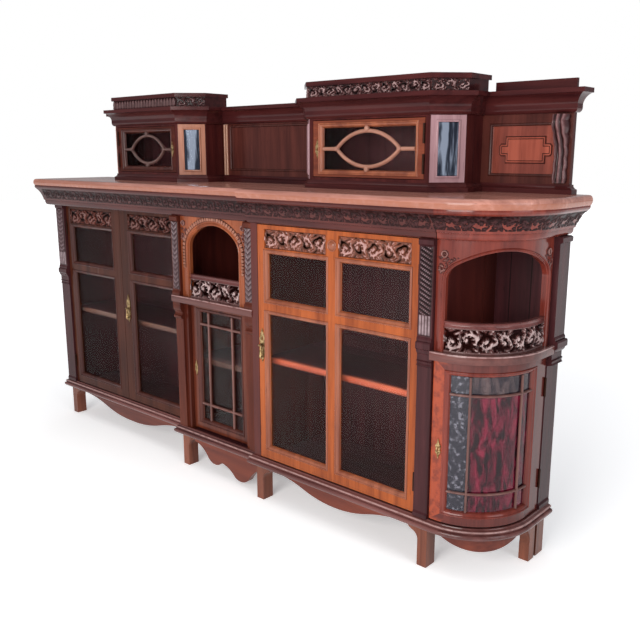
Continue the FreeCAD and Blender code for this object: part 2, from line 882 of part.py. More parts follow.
def build_niche_end():
    """The arch is cut straight through the curved front and the flat beside it, square to
    the line between its two jambs."""
    floor = niche_end_floor + ledge_thick
    thick = arch_thick
    tall = top_under - floor
    shell = fuse("arch_end_shell", [
        ring("arch_end_ring", floor, end_radius, end_radius - thick, tall, 0, 90),
        block("arch_end_jamb", x_right - thick, y_round, floor, thick, end_side_flat, tall),
        block("arch_end_stile", x_end, y_c, floor, end_flat, thick, tall)])
    start = math.radians(arch_end_start)
    first_x = end_radius * math.sin(start)
    first_y = end_radius * -math.cos(start)
    half_x = (end_radius - first_x) / 2
    half_y = (arch_end_stop - first_y) / 2
    half = (half_x * half_x + half_y * half_y).root()
    behind = end_radius / 3
    tool = new_body("arch_end_tool",
                    x_round + first_x + half_x - behind * half_y / half,
                    y_round + first_y + half_y + behind * half_x / half,
                    0, math.degrees(math.atan2(half_y.value, half_x.value)))
    face = new_sketch(tool, "arch_end_face", "XZ_Plane")
    outline(face, arch_outline(half, arch_end_spring, arch_end_rise, arch_end_corner, floor - 5))
    pad(tool, face, end_radius * 0.8)
    node(cut("arch_end_cut", shell, tool), "arch_frame_end")

    inset = 3
    deep = gallery_thick
    outer = end_radius - inset
    band = fuse("gallery_end_band", [
        ring("gallery_end_ring", floor, outer, outer - deep, gallery_height, 4, 86),
        block("gallery_end_tail", x_right - inset - deep, y_round, floor, deep, arch_end_stop,
              gallery_height)])
    count = 9
    open_height = gallery_height - gallery_rail
    pitch = 80 / count
    wide = arch_end_stop * 0.26
    slots = []
    for row, level in ((0.5, 0.54), (0.0, 0.14)):
        low = floor + open_height * level
        label = "gallery_slot_" + str(int(row * 2)) + "_"
        for i in range(count):
            slots.append(ring(label + str(i), low, end_radius, end_radius * 0.85, open_height * 0.32,
                              8 + (i + row) * pitch, pitch * 0.64))
        for i in range(2):
            slots.append(block(label + "side_" + str(i), x_right - end_radius * 0.15,
                               y_round + arch_end_stop * (0.12 + i * 0.4 + row * 0.2), low,
                               end_radius * 0.15, wide, open_height * 0.32))
    node(cut("gallery_end_cut", band, fuse("gallery_slots", slots)), "gallery_end")


# Pilasters

def pilaster_profile(reach, bottom, waist, top, shaft=0.5):
    """Side view of a pilaster: cap, carved shaft, projecting waist block, rings and a
    plain lower shaft. Reach is measured out from the face, the lower shaft as its share."""
    out = -reach
    return [
        (0, bottom),
        (out * (shaft + 0.2), bottom),
        (out * (shaft + 0.2), bottom + 10),
        (out * shaft, bottom + 16),
        (out * shaft, waist - 68),
        (out * 0.8, waist - 64),
        (out * 0.8, waist - 52, 7),
        (out * 0.6, waist - 50),
        (out * 0.6, waist - 34),
        (out * 1.0, waist - 22, -18),
        (out * 1.25, waist - 18),
        (out * 1.25, waist - 4),
        (out * 0.9, waist, -5),
        (out * 0.75, waist + 12, -14),
        (out * 0.75, top - 18),
        (out * 1.05, top - 14),
        (out * 1.05, top - 3),
        (out * 0.8, top),
        (0, top)]


def pilaster(name, x, y, width, bottom, waist, top):
    body = new_body(name, x, y, 0)
    side = new_sketch(body, name + "_side", "YZ_Plane")
    outline(side, pilaster_profile(pilaster_reach, bottom, waist, top))
    pad(body, side, width)
    return body


def build_pilasters():
    foot_line = foot_height + moulding_height
    waist = niche_b_floor + ledge_thick + 10
    top = cornice_bottom
    post = block("left_post", x_a + side_thick, y_a, floor_top, pilaster_left_width - side_thick,
                 door_thick, cornice_bottom - floor_top)
    shaft = pilaster("left_shaft", x_a, y_a, pilaster_left_width, foot_line, waist, top)
    node(fuse("left_corner", [post, shaft]), "pilaster_left")

    upper = niche_b_floor + ledge_thick
    pieces = []
    for name, x in (("left", x_b), ("right", x_c - pilaster_b_width)):
        body = new_body("pilaster_b_" + name, x, y_b, 0)
        side = new_sketch(body, "pilaster_b_side_" + name, "YZ_Plane")
        out = -pilaster_reach
        outline(side, [
            (0, upper),
            (out, upper),
            (out, upper + 6),
            (out * 0.7, upper + 18, -16),
            (out * 0.7, top - 20),
            (out * 1.05, top - 16),
            (out * 1.05, top - 4),
            (out * 0.8, top),
            (0, top)])
        pad(body, side, pilaster_b_width)
        pieces.append(body)
        lower = new_body("pilaster_b_lower_" + name, x, y_b + 4, 0)
        side = new_sketch(lower, "pilaster_b_lower_side_" + name, "YZ_Plane")
        outline(side, [
            (0, foot_line),
            (out * 0.5, foot_line),
            (out * 0.5, niche_b_floor - 62),
            (out * 1.1, niche_b_floor - 50, -10),
            (out * 0.8, niche_b_floor - 34, 10),
            (out * 1.2, niche_b_floor - 12, -24),
            (out * 1.2, niche_b_floor),
            (0, niche_b_floor)])
        pad(lower, side, pilaster_b_width)
        pieces.append(lower)
    node(group("front_b_run", pieces + build_stiles_b()), "stiles_b")

    shaft = pilaster("pilaster_c_body", x_end - pilaster_c_width, y_c, pilaster_c_width, foot_line,
                     waist, top)
    backing = block("pilaster_c_back", x_end - pilaster_c_width, y_c, floor_top, pilaster_c_width,
                    door_thick, cornice_bottom - floor_top)
    node(fuse("pilaster_c_run", [backing, shaft]), "pilaster_c")

    width = y_inner - y_side - door_gap
    body = new_body("pilaster_end_body", x_right, y_inner - width, 0, 90)
    side = new_sketch(body, "pilaster_end_side", "YZ_Plane")
    waist = niche_end_floor + ledge_thick + 10
    outline(side, pilaster_profile(pilaster_end_reach, foot_line, waist, top, 0.1))
    pad(body, side, width)
    node(body, "pilaster_end")


# Section B's lower stiles beside its door

def build_stiles_b():
    """Upright stiles that carry the small door of section B."""
    height = niche_b_floor - floor_top
    side = (section_b - door_b_width) / 2
    recess = door_b_recess
    left = block("stile_b_left", x_b, y_b + 4, floor_top, side - door_gap, arch_thick - 4, height)
    right = block("stile_b_right", x_c - side + door_gap, y_b + 4, floor_top, side - door_gap,
                  arch_thick - 4, height)
    back_left = block("stile_b_left_back", x_b + partition_thick, y_b + arch_thick, floor_top,
                      side - door_gap - partition_thick, recess + door_thick - arch_thick, height)
    back_right = block("stile_b_right_back", x_c - side + door_gap, y_b + arch_thick, floor_top,
                       side - door_gap, recess + door_thick - arch_thick, height)
    return [fuse("stile_b_l", [left, back_left]), fuse("stile_b_r", [right, back_right])]


# Doors

def hinge(name, x, y, z, side, turn=0):
    """One lift-off hinge about a vertical axis. In its own frame X points from the door to
    the post when side is 1, and Y into the cabinet. Returns the fixed and moving halves."""
    unit = barrel_length
    step = unit + barrel_gap
    edge = barrel_radius + barrel_gap - door_gap

    def plate(label, start, low):
        first = start if side > 0 else -start - hinge_leaf
        return block(name + label, first, 0, low, hinge_leaf, hinge_reach + barrel_radius, unit)

    fixed = fuse(name + "_fixed", [
        prism(name + "_low", 0, 0, 0, barrel_radius, unit),
        prism(name + "_pin", 0, 0, unit / 2, pin_radius, unit / 2 + step - pin_cap),
        plate("_plate_low", edge + door_gap - hinge_leaf, 0)])
    upper = fuse(name + "_upper", [
        prism(name + "_high", 0, 0, step, barrel_radius, unit),
        plate("_plate_high", edge, step)])
    bore = prism(name + "_bore", 0, 0, unit, bore_radius, step - pin_cap + barrel_gap)
    moving = cut(name + "_moving", upper, bore)
    base = z - step
    place(fixed, x, y, base, turn)
    place(moving, x, y, base, turn)
    return fixed, moving


fixed_hinges = []
axis_set = barrel_radius + barrel_gap
bore_radius = (pin_radius + pin_clear) / math.cos(math.pi / rod_sides)


def hang(name, edge_x, edge_y, bottom, height, inset, side, turn=0):
    """Two hinges on one door, whose hinged front corner is given. The barrels stand clear
    of the post beside them and of the door's face. Returns their moving halves."""
    across = (door_gap - axis_set) * side
    x = edge_x + axis_set if turn else edge_x + across
    y = edge_y + across if turn else edge_y - axis_set
    moving = []
    for i, z in enumerate((bottom + inset, bottom + height - inset)):
        fixed, leaf = hinge(name + "_hinge_" + str(i), x, y, z, side, turn)
        fixed_hinges.append(fixed)
        moving.append(leaf)
    note_axis(name, x, y, bottom + height / 2)
    return moving


def lobed_plate(half, tall, neck, neck_level, lobe_level, waist):
    """A plate with pointed ends, two pairs of side lobes and a waist between them. The
    other numbers are shares of its half width and half height."""
    right = [
        (half * neck, -tall * neck_level),
        (half, -tall * lobe_level),
        (half * waist, 0),
        (half, tall * lobe_level),
        (half * neck, tall * neck_level)]
    left = [(-x, z) for x, z in reversed(right)]
    return [(0, -tall)] + right + [(0, tall)] + left


def keyhole_plate(name, x, y, z, turn=0):
    """A thin brass plate with a pointed waist and a keyhole."""
    body = new_body(name, x, y, z, turn)
    face = new_sketch(body, name + "_face", "XZ_Plane")
    half = keyhole_width / 2
    tall = keyhole_height / 2
    outline(face, lobed_plate(half, tall, 0.4, 0.55, 0.3, 0.7))
    pad(body, face, brass_thick)
    hole = new_sketch(body, name + "_hole", "XZ_Plane")
    rectangle(hole, -keyhole_slot / 2, -keyhole_slot * 2, keyhole_slot / 2, keyhole_slot * 1.5)
    doc.recompute()
    pocket(body, hole, brass_thick, backwards=True)
    return body


def pull(name, x, y, z):
    """A tall brass plate with two ears and a pin, and the turned drop that swings on it."""
    plate = new_body(name + "_plate", x, y, z)
    face = new_sketch(plate, name + "_face", "XZ_Plane")
    half = pull_width / 2
    tall = pull_height / 2
    outline(face, lobed_plate(half, tall, 0.5, 0.72, 0.35, 0.7))
    pad(plate, face, brass_thick)
    hole = new_sketch(plate, name + "_hole", "XZ_Plane")
    rectangle(hole, -keyhole_slot / 2, tall * 0.3, keyhole_slot / 2, tall * 0.5)
    doc.recompute()
    pocket(plate, hole, brass_thick, backwards=True)

    out = y - brass_thick - ear_stand
    across = FreeCAD.Vector(0, 1, 0)
    eye_play = drop_eye_half + barrel_gap
    span = eye_play + ear_half
    pieces = [plate, prism(name + "_pin", x - span, out, z, pin_radius, span * 2, 90, across)]
    for i, start in enumerate((x - span, x + eye_play)):
        pieces.append(block(name + "_stem_" + str(i), start, out, z - ear_half * 0.7, ear_half,
                            ear_stand, ear_half * 1.4))
        pieces.append(prism(name + "_head_" + str(i), start, out, z, ear_half, ear_half, 90, across))
    fixed = fuse(name + "_back", pieces)

    pear = new_body(name + "_pear", x, out, z)
    half_face = new_sketch(pear, name + "_pear_face", "XZ_Plane")
    wide = drop_radius
    outline(half_face, [
        (0, -drop_eye * 0.6),
        (drop_neck, -drop_eye * 0.6),
        (wide, -drop_length * 0.84),
        (0, -drop_length)])
    turned = pear.newObject("PartDesign::Revolution", name + "_turned")
    turned.Profile = half_face
    turned.ReferenceAxis = (half_face, ["V_Axis"])
    turned.Angle = 360
    pear.Tip = turned
    eye = prism(name + "_eye", x - drop_eye_half, out, z, drop_eye, drop_eye_half * 2, 90, across)
    bore = prism(name + "_bore", x - span, out, z, bore_radius, span * 2, 90, across)
    drop = cut(name + "_drop", fuse(name + "_drop_body", [pear, eye]), bore)
    note_axis(name, x, out, z)
    return fixed, drop


def door_frame(name, x, y, z, width, height, thick, panes, frieze=None):
    """A framed door: sight openings with bevelled edges, rebated behind for the glass,
    and at the head a sunk frieze for the carving. Its face is at y."""
    frame = new_body(name + "_frame", x, y, z)
    face = new_sketch(frame, name + "_face", "XZ_Plane")
    rectangle(face, 0, 0, width, height)
    pad(frame, face, thick, backwards=True)
    sight = new_sketch(frame, name + "_sight", "XZ_Plane")
    for left, low, right, high in panes:
        rectangle(sight, left, low, right, high)
    doc.recompute()
    pocket(frame, sight, thick)
    edge = 0.01
    wide = width.value - 1
    tall = height.value - 1
    names = edges_where(frame, lambda box: box.YLength < edge and abs(box.YMin) < edge
                        and box.XMin > 1 and box.XMax < wide and box.ZMin > 1 and box.ZMax < tall)
    soften(frame, names, bevel)
    rebate = new_sketch(frame, name + "_rebate", "XZ_Plane", -glass_depth)
    for left, low, right, high in panes:
        rectangle(rebate, left - glass_lip, low - glass_lip, right + glass_lip, high + glass_lip)
    doc.recompute()
    pocket(frame, rebate, thick - glass_depth)
    if frieze:
        sunk = new_sketch(frame, name + "_frieze", "XZ_Plane")
        for left, low, right, high in frieze:
            rectangle(sunk, left, low, right, high)
        doc.recompute()
        pocket(frame, sunk, frieze_sunk)
    node(frame, name + "_frame")

    play = glass_lip - glass_clear
    glasses = []
    for i, (left, low, right, high) in enumerate(panes):
        glasses.append(block(name + "_pane_" + str(i), x + left - play, y + glass_depth, z + low - play,
                             right - left + play * 2, glass_thick, high - low + play * 2))
    glass = group(name + "_panes", glasses) if len(glasses) > 1 else glasses[0]
    node(glass, name + "_glass")
    return frame


def tall_panes(columns, height_low, height_split, height_gap, height_top):
    panes = []
    for left, right in columns:
        panes.append((left, height_low, right, height_split))
        panes.append((left, height_split + height_gap, right, height_top))
    return panes


def build_doors_a():
    """The two leaves of section A, which meet in the middle."""
    height = door_top - door_bottom
    opening = section_a - pilaster_left_width
    width = (opening - door_gap * 3) / 2
    low = door_rail
    split = middle_level - middle_rail / 2 - door_bottom
    head = head_level - door_bottom
    first = x_a + pilaster_left_width + door_gap
    frieze_low = head + frieze_margin
    frieze_high = frieze_low + frieze_height

    def leaf(name, x, left_stile, right_stile):
        columns = [(left_stile, width - right_stile)]
        panes = tall_panes(columns, low, split, middle_rail, head)
        frieze = [(left_stile - bevel, frieze_low, width - right_stile + bevel, frieze_high)]
        door_frame(name, x, y_a, door_bottom, width, height, door_thick, panes, frieze)

    leaf("door_a_left", first, leaf_stile, meeting_stile)
    moving = hang("door_a_left", first, y_a, door_bottom, height, hinge_inset, -1)
    node(group("door_a_left_metal", moving), "door_a_left_brasses")

    second = first + width + door_gap
    leaf("door_a_right", second, meeting_stile, leaf_stile)
    moving = hang("door_a_right", second + width, y_a, door_bottom, height, hinge_inset, 1)
    plate, drop = pull("pull_a", second + meeting_stile / 2, y_a, pull_level)
    node(group("door_a_right_metal", moving + [plate]), "door_a_right_brasses")
    node(drop, "drop_pull_a")


def build_door_b():
    """The small door of section B with thin glazing bars."""
    bottom = door_bottom
    height = niche_b_floor - door_lift - bottom
    width = door_b_width
    x = x_b + (section_b - door_b_width) / 2
    y = y_b + door_b_recess
    panes = [(door_b_stile, door_b_rail + 8, width - door_b_stile, height - door_b_rail)]
    frame = door_frame("door_b", x, y, bottom, width, height, door_thick, panes)
    add_bars(frame, "door_b", panes[0])
    moving = hang("door_b", x + width, y, bottom, height, hinge_inset, 1)
    plate = keyhole_plate("lock_b", x + door_b_stile * 0.5, y, bottom + height * 0.49)
    node(group("door_b_metal", moving + [plate]), "door_b_brasses")


def add_bars(frame, name, pane):
    """Two upright and two level glazing bars in front of the glass."""
    left, low, right, high = pane
    bar = glazing_bar
    inset = glazing_inset
    deep = bevel * 0.5
    uprights = new_sketch(frame, name + "_uprights", "XZ_Plane", -deep)
    rectangle(uprights, left + inset, low - 1, left + inset + bar, high + 1)
    rectangle(uprights, right - inset - bar, low - 1, right - inset, high + 1)
    pad(frame, uprights, glass_depth - deep, backwards=True)
    levels = new_sketch(frame, name + "_levels", "XZ_Plane", -deep)
    rise = inset * 1.4
    rectangle(levels, left - 1, low + rise, right + 1, low + rise + bar)
    rectangle(levels, left - 1, high - inset - bar, right + 1, high - inset)
    pad(frame, levels, glass_depth - deep, backwards=True)


def build_door_c():
    """The wide door of section C: four panes round a muntin and a middle rail."""
    height = door_top - door_bottom
    width = section_c - divider_face - pilaster_c_width - door_gap * 2
    x = x_c + divider_face + door_gap
    half = (width - muntin) / 2
    columns = [(door_c_stile, half), (half + muntin, width - door_c_stile)]
    head = head_level - door_bottom
    split = middle_level - middle_rail / 2 - door_bottom
    panes = tall_panes(columns, door_rail, split, middle_rail, head)
    low = head + frieze_margin
    high = low + frieze_height
    middle = width / 2
    boss = frieze_height * 0.4
    frieze = [(door_c_stile - bevel, low, middle - boss, high),
              (middle + boss, low, width - door_c_stile + bevel, high)]
    door_frame("door_c", x, y_c, door_bottom, width, height, door_thick, panes, frieze)
    moving = hang("door_c", x + width, y_c, door_bottom, height, hinge_inset, 1)
    plate, drop = pull("pull_c", x + door_c_stile / 2 - 4, y_c, pull_level)
    node(group("door_c_metal", moving + [plate]), "door_c_brasses")
    node(drop, "drop_pull_c")


def build_door_end():
    """The curved door of the end: a short flat stile and a ring sector cut for curved
    glass, with thin bars."""
    name = "door_end"
    bottom = door_bottom
    height = niche_end_floor - door_lift - bottom
    outer = end_radius
    thick = door_thick
    stile = block(name + "_stile", x_end + door_gap, y_c, bottom, end_flat - door_gap, thick, height)
    shell = ring(name + "_shell", bottom, outer, outer - thick, height, 0, 90)
    tail = block(name + "_tail", x_right - thick, y_round, bottom, thick, end_side_flat - door_gap, height)
    edge = door_rail - glass_lip
    low = bottom + edge
    tall = height - edge * 2
    left = 10.5
    right = 90
    glass_level = outer - glass_depth
    sight = ring(name + "_sight", low, outer + 5, glass_level - 1, tall, left, right - left)
    lip = 2
    rebate = ring(name + "_rebate", low - glass_lip, glass_level, outer - thick - 5, tall + glass_lip * 2,
                  left - lip, right - left + lip * 2)
    frame = cut(name + "_open", fuse(name + "_leaf", [stile, shell, tail]),
                fuse(name + "_windows", [sight, rebate]))
    bars = []
    bar = glazing_bar
    face = outer - 4
    for i, z in enumerate((low + glazing_inset * 1.25, low + tall - glazing_inset * 1.4)):
        bars.append(ring(name + "_level_" + str(i), z, face, glass_level, bar,
                         left - 1, right - left + 2))
    for i, angle in enumerate((28.1, 76.6)):
        bars.append(ring(name + "_upright_" + str(i), low - 1, face, glass_level, tall + 2, angle - 1.3, 2.6))
    node(fuse(name + "_barred", [frame] + bars), "door_end_frame")
    play = glass_lip - glass_clear
    node(ring(name + "_pane", low - play, glass_level, glass_level - glass_thick, tall + play * 2,
              left - lip + 0.3, right - left + lip * 2 - 0.6), "door_end_glass")
    moving = hang(name, x_right, y_side - door_gap, bottom, height, hinge_inset, 1, 90)
    lock_angle = 2.5
    lock = keyhole_plate("lock_end", x_round + end_radius * math.sin(math.radians(lock_angle)),
                         y_round - end_radius * math.cos(math.radians(lock_angle)),
                         bottom + height * 0.46, lock_angle)
    node(group("door_end_metal", moving + [lock]), "door_end_brasses")


# Upper stage

def stage_path(inset=0):
    """Plan of the upper stage's front from the back right corner round to the left one,
    or the same plan drawn further in."""
    inset = as_size(inset)
    slant = inset * (math.sqrt(2) - 1)
    y_front = y_back - cabinet_depth + inset
    y_step = y_back - cabinet_depth + cant + slant
    y_bay = y_back - bay_depth + inset
    far_right = x_end + bay_right_end - inset
    far_left = x_end - bay_left_end + inset
    corners = [(far_right, y_back), (far_right, y_bay)]
    for first, width in ((x_end - cabinet_right_left, cabinet_right),
                         (x_end - cabinet_left_left, cabinet_left)):
        side = cant - inset
        corners += [
            (first + width + side, y_bay),
            (first + width + side, y_step),
            (first + width - slant, y_front),
            (first + slant, y_front),
            (first - side, y_step),
            (first - side, y_bay)]
    return corners + [(far_left, y_bay), (far_left, y_back)]


def stage_moulding(name, label, z, profile):
    """A moulding carried round the whole plan of the upper stage."""
    path = stage_path()
    start_x = path[0][0]
    moved = [(x - start_x, y - y_back) for x, y in path]
    node(sweep_moulding(name, moved, profile, "XZ_Plane", 0, (start_x, y_back, z)), label)


def build_stage():
    """Back board, mouldings and top boards of the upper stage."""
    path = stage_path()
    far_right = path[0][0]
    far_left = path[-1][0]
    y_bay = path[1][1]
    wall = panel_frame_thick
    floor = base_height + upper_floor
    cornice_z = base_height + upper_height - upper_cornice
    top = base_height + upper_height
    node(block("stage_back", far_left, y_bay + wall, floor, far_right - far_left, bay_depth - wall,
               cornice_z - floor), "upper_back_board")

    reach = plinth_reach
    rise = upper_floor
    base_profile = [
        (-wall, 0),
        (reach, 0),
        (reach, rise * 0.5),
        (reach * 0.3, rise * 0.85, -reach * 0.9),
        (reach * 0.3, rise),
        (-wall, rise)]
    stage_moulding("stage_plinth", "upper_base_moulding", base_height, base_profile)

    drop = upper_cornice
    out = upper_reach
    cornice = [
        (-wall, 0),
        (out * 0.15, 0),
        (out * 0.35, drop * 0.2, out * 0.3),
        (out * 0.35, drop * 0.36),
        (out * 0.9, drop * 0.8, -drop * 0.6),
        (out, drop * 0.8),
        (out, drop),
        (-wall, drop)]
    stage_moulding("stage_cornice", "upper_cornice", cornice_z, cornice)

    roof = new_body("stage_roof", 0, 0, top - roof_thick)
    plan = new_sketch(roof, "stage_roof_plan", "XY_Plane")
    outline(plan, stage_path(wall))
    pad(roof, plan, roof_thick)
    start = x_end - cabinet_right_left + cabinet_right + cant + gallery_margin
    rail = block("back_rail", start, y_back - gallery_back_thick, top, far_right - start,
                 gallery_back_thick, gallery_back_height)
    node(group("stage_roof_run", [roof, rail]), "upper_top_boards")


def build_cabinet(name, label, first, width):
    """The shell of one small cabinet with canted corners and a doorway."""
    y_front = y_back - cabinet_depth
    y_step = y_front + cant
    y_end = y_back - bay_depth + panel_frame_thick
    low = base_height + upper_floor
    high = base_height + upper_height - upper_cornice
    wall = upper_wall
    body = new_body(name + "_shell", first, y_front, low)
    plan = new_sketch(body, name + "_plan", "XY_Plane")
    depth = y_end - y_front
    outline(plan, [
        (0, 0),
        (width, 0),
        (width + cant, cant),
        (width + cant, depth),
        (-cant, depth),
        (-cant, cant)])
    pad(body, plan, high - low)
    hollow = new_sketch(body, name + "_hollow", "XY_Plane", wall)
    corner = wall * 0.42
    outline(hollow, [
        (corner, wall + upper_door_thick),
        (width - corner, wall + upper_door_thick),
        (width + cant - wall, cant + corner + 12),
        (width + cant - wall, depth),
        (-cant + wall, depth),
        (-cant + wall, cant + corner + 12)])
    doc.recompute()
    pocket(body, hollow, high - low - wall * 2, backwards=True)
    margin = 13
    doorway = new_sketch(body, name + "_doorway", "XZ_Plane")
    door_low = 8
    door_high = high - low - 5
    rectangle(doorway, margin, door_low, width - margin, door_high)
    doc.recompute()
    pocket(body, doorway, wall + upper_door_thick + 1)
    node(body, label)


def build_upper_cabinets():
    crests = []
    for side in ("left", "right"):
        right = side == "right"
        first = x_end - (cabinet_right_left if right else cabinet_left_left)
        width = cabinet_right if right else cabinet_left
        build_cabinet("cabinet_" + side, "upper_cabinet_" + side, first, width)
        crests.append(build_crest("crest_" + side, first, width))
        build_upper_door("upper_door_" + side, first, width, right)
    node(group("crest_run", crests), "crests")


def build_crest(name, first, width):
    """The carved crest on a cabinet: a canted band under a moulded board."""
    top = base_height + upper_height
    y_front = y_back - cabinet_depth
    body = new_body(name + "_body", first, y_front, top)
    depth = cabinet_depth

    def plan(label, out, level):
        sketch = new_sketch(body, name + label, "XY_Plane", level)
        slant = out * (math.sqrt(2) - 1)
        outline(sketch, [
            (-slant, -out),
            (width + slant, -out),
            (width + cant + out, cant - slant),
            (width + cant + out, depth),
            (-cant - out, depth),
            (-cant - out, cant - slant)])
        return sketch

    pad(body, plan("_band", as_size(2), 0), crest_height - crest_board)
    pad(body, plan("_board", as_size(11), crest_height - crest_board), crest_board)
    hollow = plan("_hollow", as_size(-crest_board), 0)
    doc.recompute()
    pocket(body, hollow, crest_height - crest_board, backwards=True)
    return body


def build_upper_door(name, first, width, hinged_right):
    """A low glazed door with a lens of curved glazing bars."""
    y_front = y_back - cabinet_depth
    margin = 13
    x = first + margin + door_gap
    wide = width - margin * 2 - door_gap * 2
    low = base_height + upper_floor + 8 + door_gap
    tall = upper_height - upper_cornice - upper_floor - 13 - door_gap * 2
    stile = upper_door_stile
    rail = upper_door_rail
    panes = [(stile, rail, wide - stile, tall - rail)]
    y = y_front
    frame = door_frame(name, x, y, low, wide, tall, upper_door_thick, panes)
    middle = wide / 2
    level = tall / 2
    half = tracery_half * (wide / 398)
    rise = tracery_rise
    bar = tracery_bar
    deep = bevel * 0.5
    lens = new_sketch(frame, name + "_lens", "XZ_Plane", -deep)
    for grow in (bar / 2, -bar / 2):
        a = half + grow * 1.6
        b = rise + grow
        radius = (a * a + b * b) / (b * 2)
        outline(lens, [(middle - a, level, radius), (middle + a, level, radius)])
    pad(frame, lens, glass_depth - deep, backwards=True)
    bars = new_sketch(frame, name + "_bars", "XZ_Plane", -deep)
    rectangle(bars, stile - 1, level - bar / 2, middle - half + 1, level + bar / 2)
    rectangle(bars, middle + half - 1, level - bar / 2, wide - stile + 1, level + bar / 2)
    pad(frame, bars, glass_depth - deep, backwards=True)
    side = 1 if hinged_right else -1
    edge_x = x + wide if hinged_right else x
    moving = hang(name, edge_x, y, low, tall, tall / 4, side)
    lock_x = x + stile / 2 if hinged_right else x + wide - stile / 2
    plate = keyhole_plate(name + "_lock", lock_x, y, low + level)
    node(group(name + "_metal", moving + [plate]), name + "_brasses")


def build_mirrors():
    """Bevelled mirrors set on the four canted corners of the cabinets."""
    y_front = y_back - cabinet_depth
    tall = upper_height - upper_cornice - upper_floor - 36
    low = base_height + upper_floor + 18
    pieces = []
    for side, first, width in (("left", x_end - cabinet_left_left, cabinet_left),
                               ("right", x_end - cabinet_right_left, cabinet_right)):
        for hand, x, turn in (("a", first - cant / 2, -45), ("b", first + width + cant / 2, 45)):
            body = new_body("mirror_" + side + "_" + hand, x, y_front + cant / 2, low, turn)
            face = new_sketch(body, "mirror_face_" + side + "_" + hand, "XZ_Plane")
            half = mirror_width / 2
            rectangle(face, -half, 0, half, tall)
            pad(body, face, mirror_thick)
            doc.recompute()
            front = -mirror_thick.value
            names = edges_where(body, lambda box: abs(box.YMin - front) < 0.01 and box.YLength < 0.01)
            soften(body, names, mirror_thick * 0.6)
            pieces.append(body)
    node(group("mirrors_run", pieces), "cant_mirrors")


def build_panels():
    """Centre panel, the two bay panels and the console of the right bay."""
    y_bay = y_back - bay_depth
    low = base_height + upper_floor
    high = base_height + upper_height - upper_cornice
    left = x_end - cabinet_left_left + cabinet_left + cant
    right = x_end - cabinet_right_left - cant
    wide = right - left
    tall = high - low
    centre = new_body("centre_body", left, y_bay, low)
    face = new_sketch(centre, "centre_face", "XZ_Plane")
    rectangle(face, 0, 0, wide, tall)
    pad(centre, face, panel_frame_thick, backwards=True)
    sunk = new_sketch(centre, "centre_sunk", "XZ_Plane")
    rectangle(sunk, 38, 20, wide - 38, tall - 8)
    doc.recompute()
    pocket(centre, sunk, panel_frame_thick * 0.6)

    start = x_end - cabinet_right_left + cabinet_right + cant
    stop = x_end + bay_right_end
    bay = new_body("bay_body", start, y_bay, low)
    face = new_sketch(bay, "bay_face", "XZ_Plane")
    rectangle(face, 0, 0, stop - start, tall)
    pad(bay, face, panel_frame_thick, backwards=True)
    sunk = new_sketch(bay, "bay_sunk", "XZ_Plane")
    width = stop - start
    rectangle(sunk, 26, 22, width - 28, tall - 26)
    doc.recompute()
    pocket(bay, sunk, panel_frame_thick * 0.5)
    tablet = new_sketch(bay, "bay_tablet", "XZ_Plane", -panel_frame_thick * 0.5)
    centre_x = (width - 2) / 2
    outline(tablet, shaped_tablet(centre_x, tall / 2 - 2, 74, 34))
    pad(bay, tablet, 3)

    other = x_end - bay_left_end
    first = x_end - cabinet_left_left - cant
    left_bay = block("bay_left", other, y_bay, low, first - other, panel_frame_thick, tall)
    node(group("panel_run", [centre, bay, left_bay]), "upper_panels")

    console = new_body("console_body", stop - console_width, y_bay, low)
    side = new_sketch(console, "console_side", "YZ_Plane")
    out = -console_reach
    outline(side, [
        (0, 4),
        (out * 0.3, 4),
        (out * 0.35, 20, -14),
        (out * 0.25, tall * 0.45, -tall * 0.6),
        (out * 0.62, tall * 0.68, tall * 0.5),
        (out, tall * 0.84, 34),
        (out * 0.8, tall - 4, 26),
        (0, tall - 4)])
    pad(console, side, console_width - 6)
    node(console, "bay_console")


def shaped_tablet(x, z, half, rise):
    """A tablet with stepped ogee ends, drawn about its centre."""
    step = rise * 0.45
    notch = half * 0.24
    return [
        (x - half + notch, z - rise),
        (x + half - notch, z - rise),
        (x + half - notch, z - step),
        (x + half, z - step * 0.4, -notch),
        (x + half, z + step * 0.4),
        (x + half - notch, z + step, -notch),
        (x + half - notch, z + rise),
        (x - half + notch, z + rise),
        (x - half + notch, z + step),
        (x - half, z + step * 0.4, -notch),
        (x - half, z - step * 0.4),
        (x - half + notch, z - step, -notch)]


build_boards()
build_mouldings()
build_cornices()
build_top()
build_feet()
build_aprons()
build_niche_b()
build_niche_end()
build_pilasters()
build_doors_a()
build_door_b()
build_door_c()
build_door_end()
build_stage()
build_upper_cabinets()
build_mirrors()
build_panels()
node(group("hinge_run", fixed_hinges), "fixed_hinge_halves")
doc.recompute()

for item in doc.Objects:
    if "Invalid" in item.State or "Error" in item.State:
        raise RuntimeError(item.Label + " did not rebuild: " + str(item.State))
for item in nodes:
    if item.Shape.isNull() or not item.Shape.isValid():
        raise RuntimeError(item.Label + " has no valid shape")

os.makedirs("parts", exist_ok=True)
for item in nodes:
    item.Shape.exportStep("parts/" + item.Label + ".step")

print(len(nodes), "nodes")
for name, x, y, z in axes:
    print(name, "axis", round(x, 3), round(y, 3), round(z, 3))
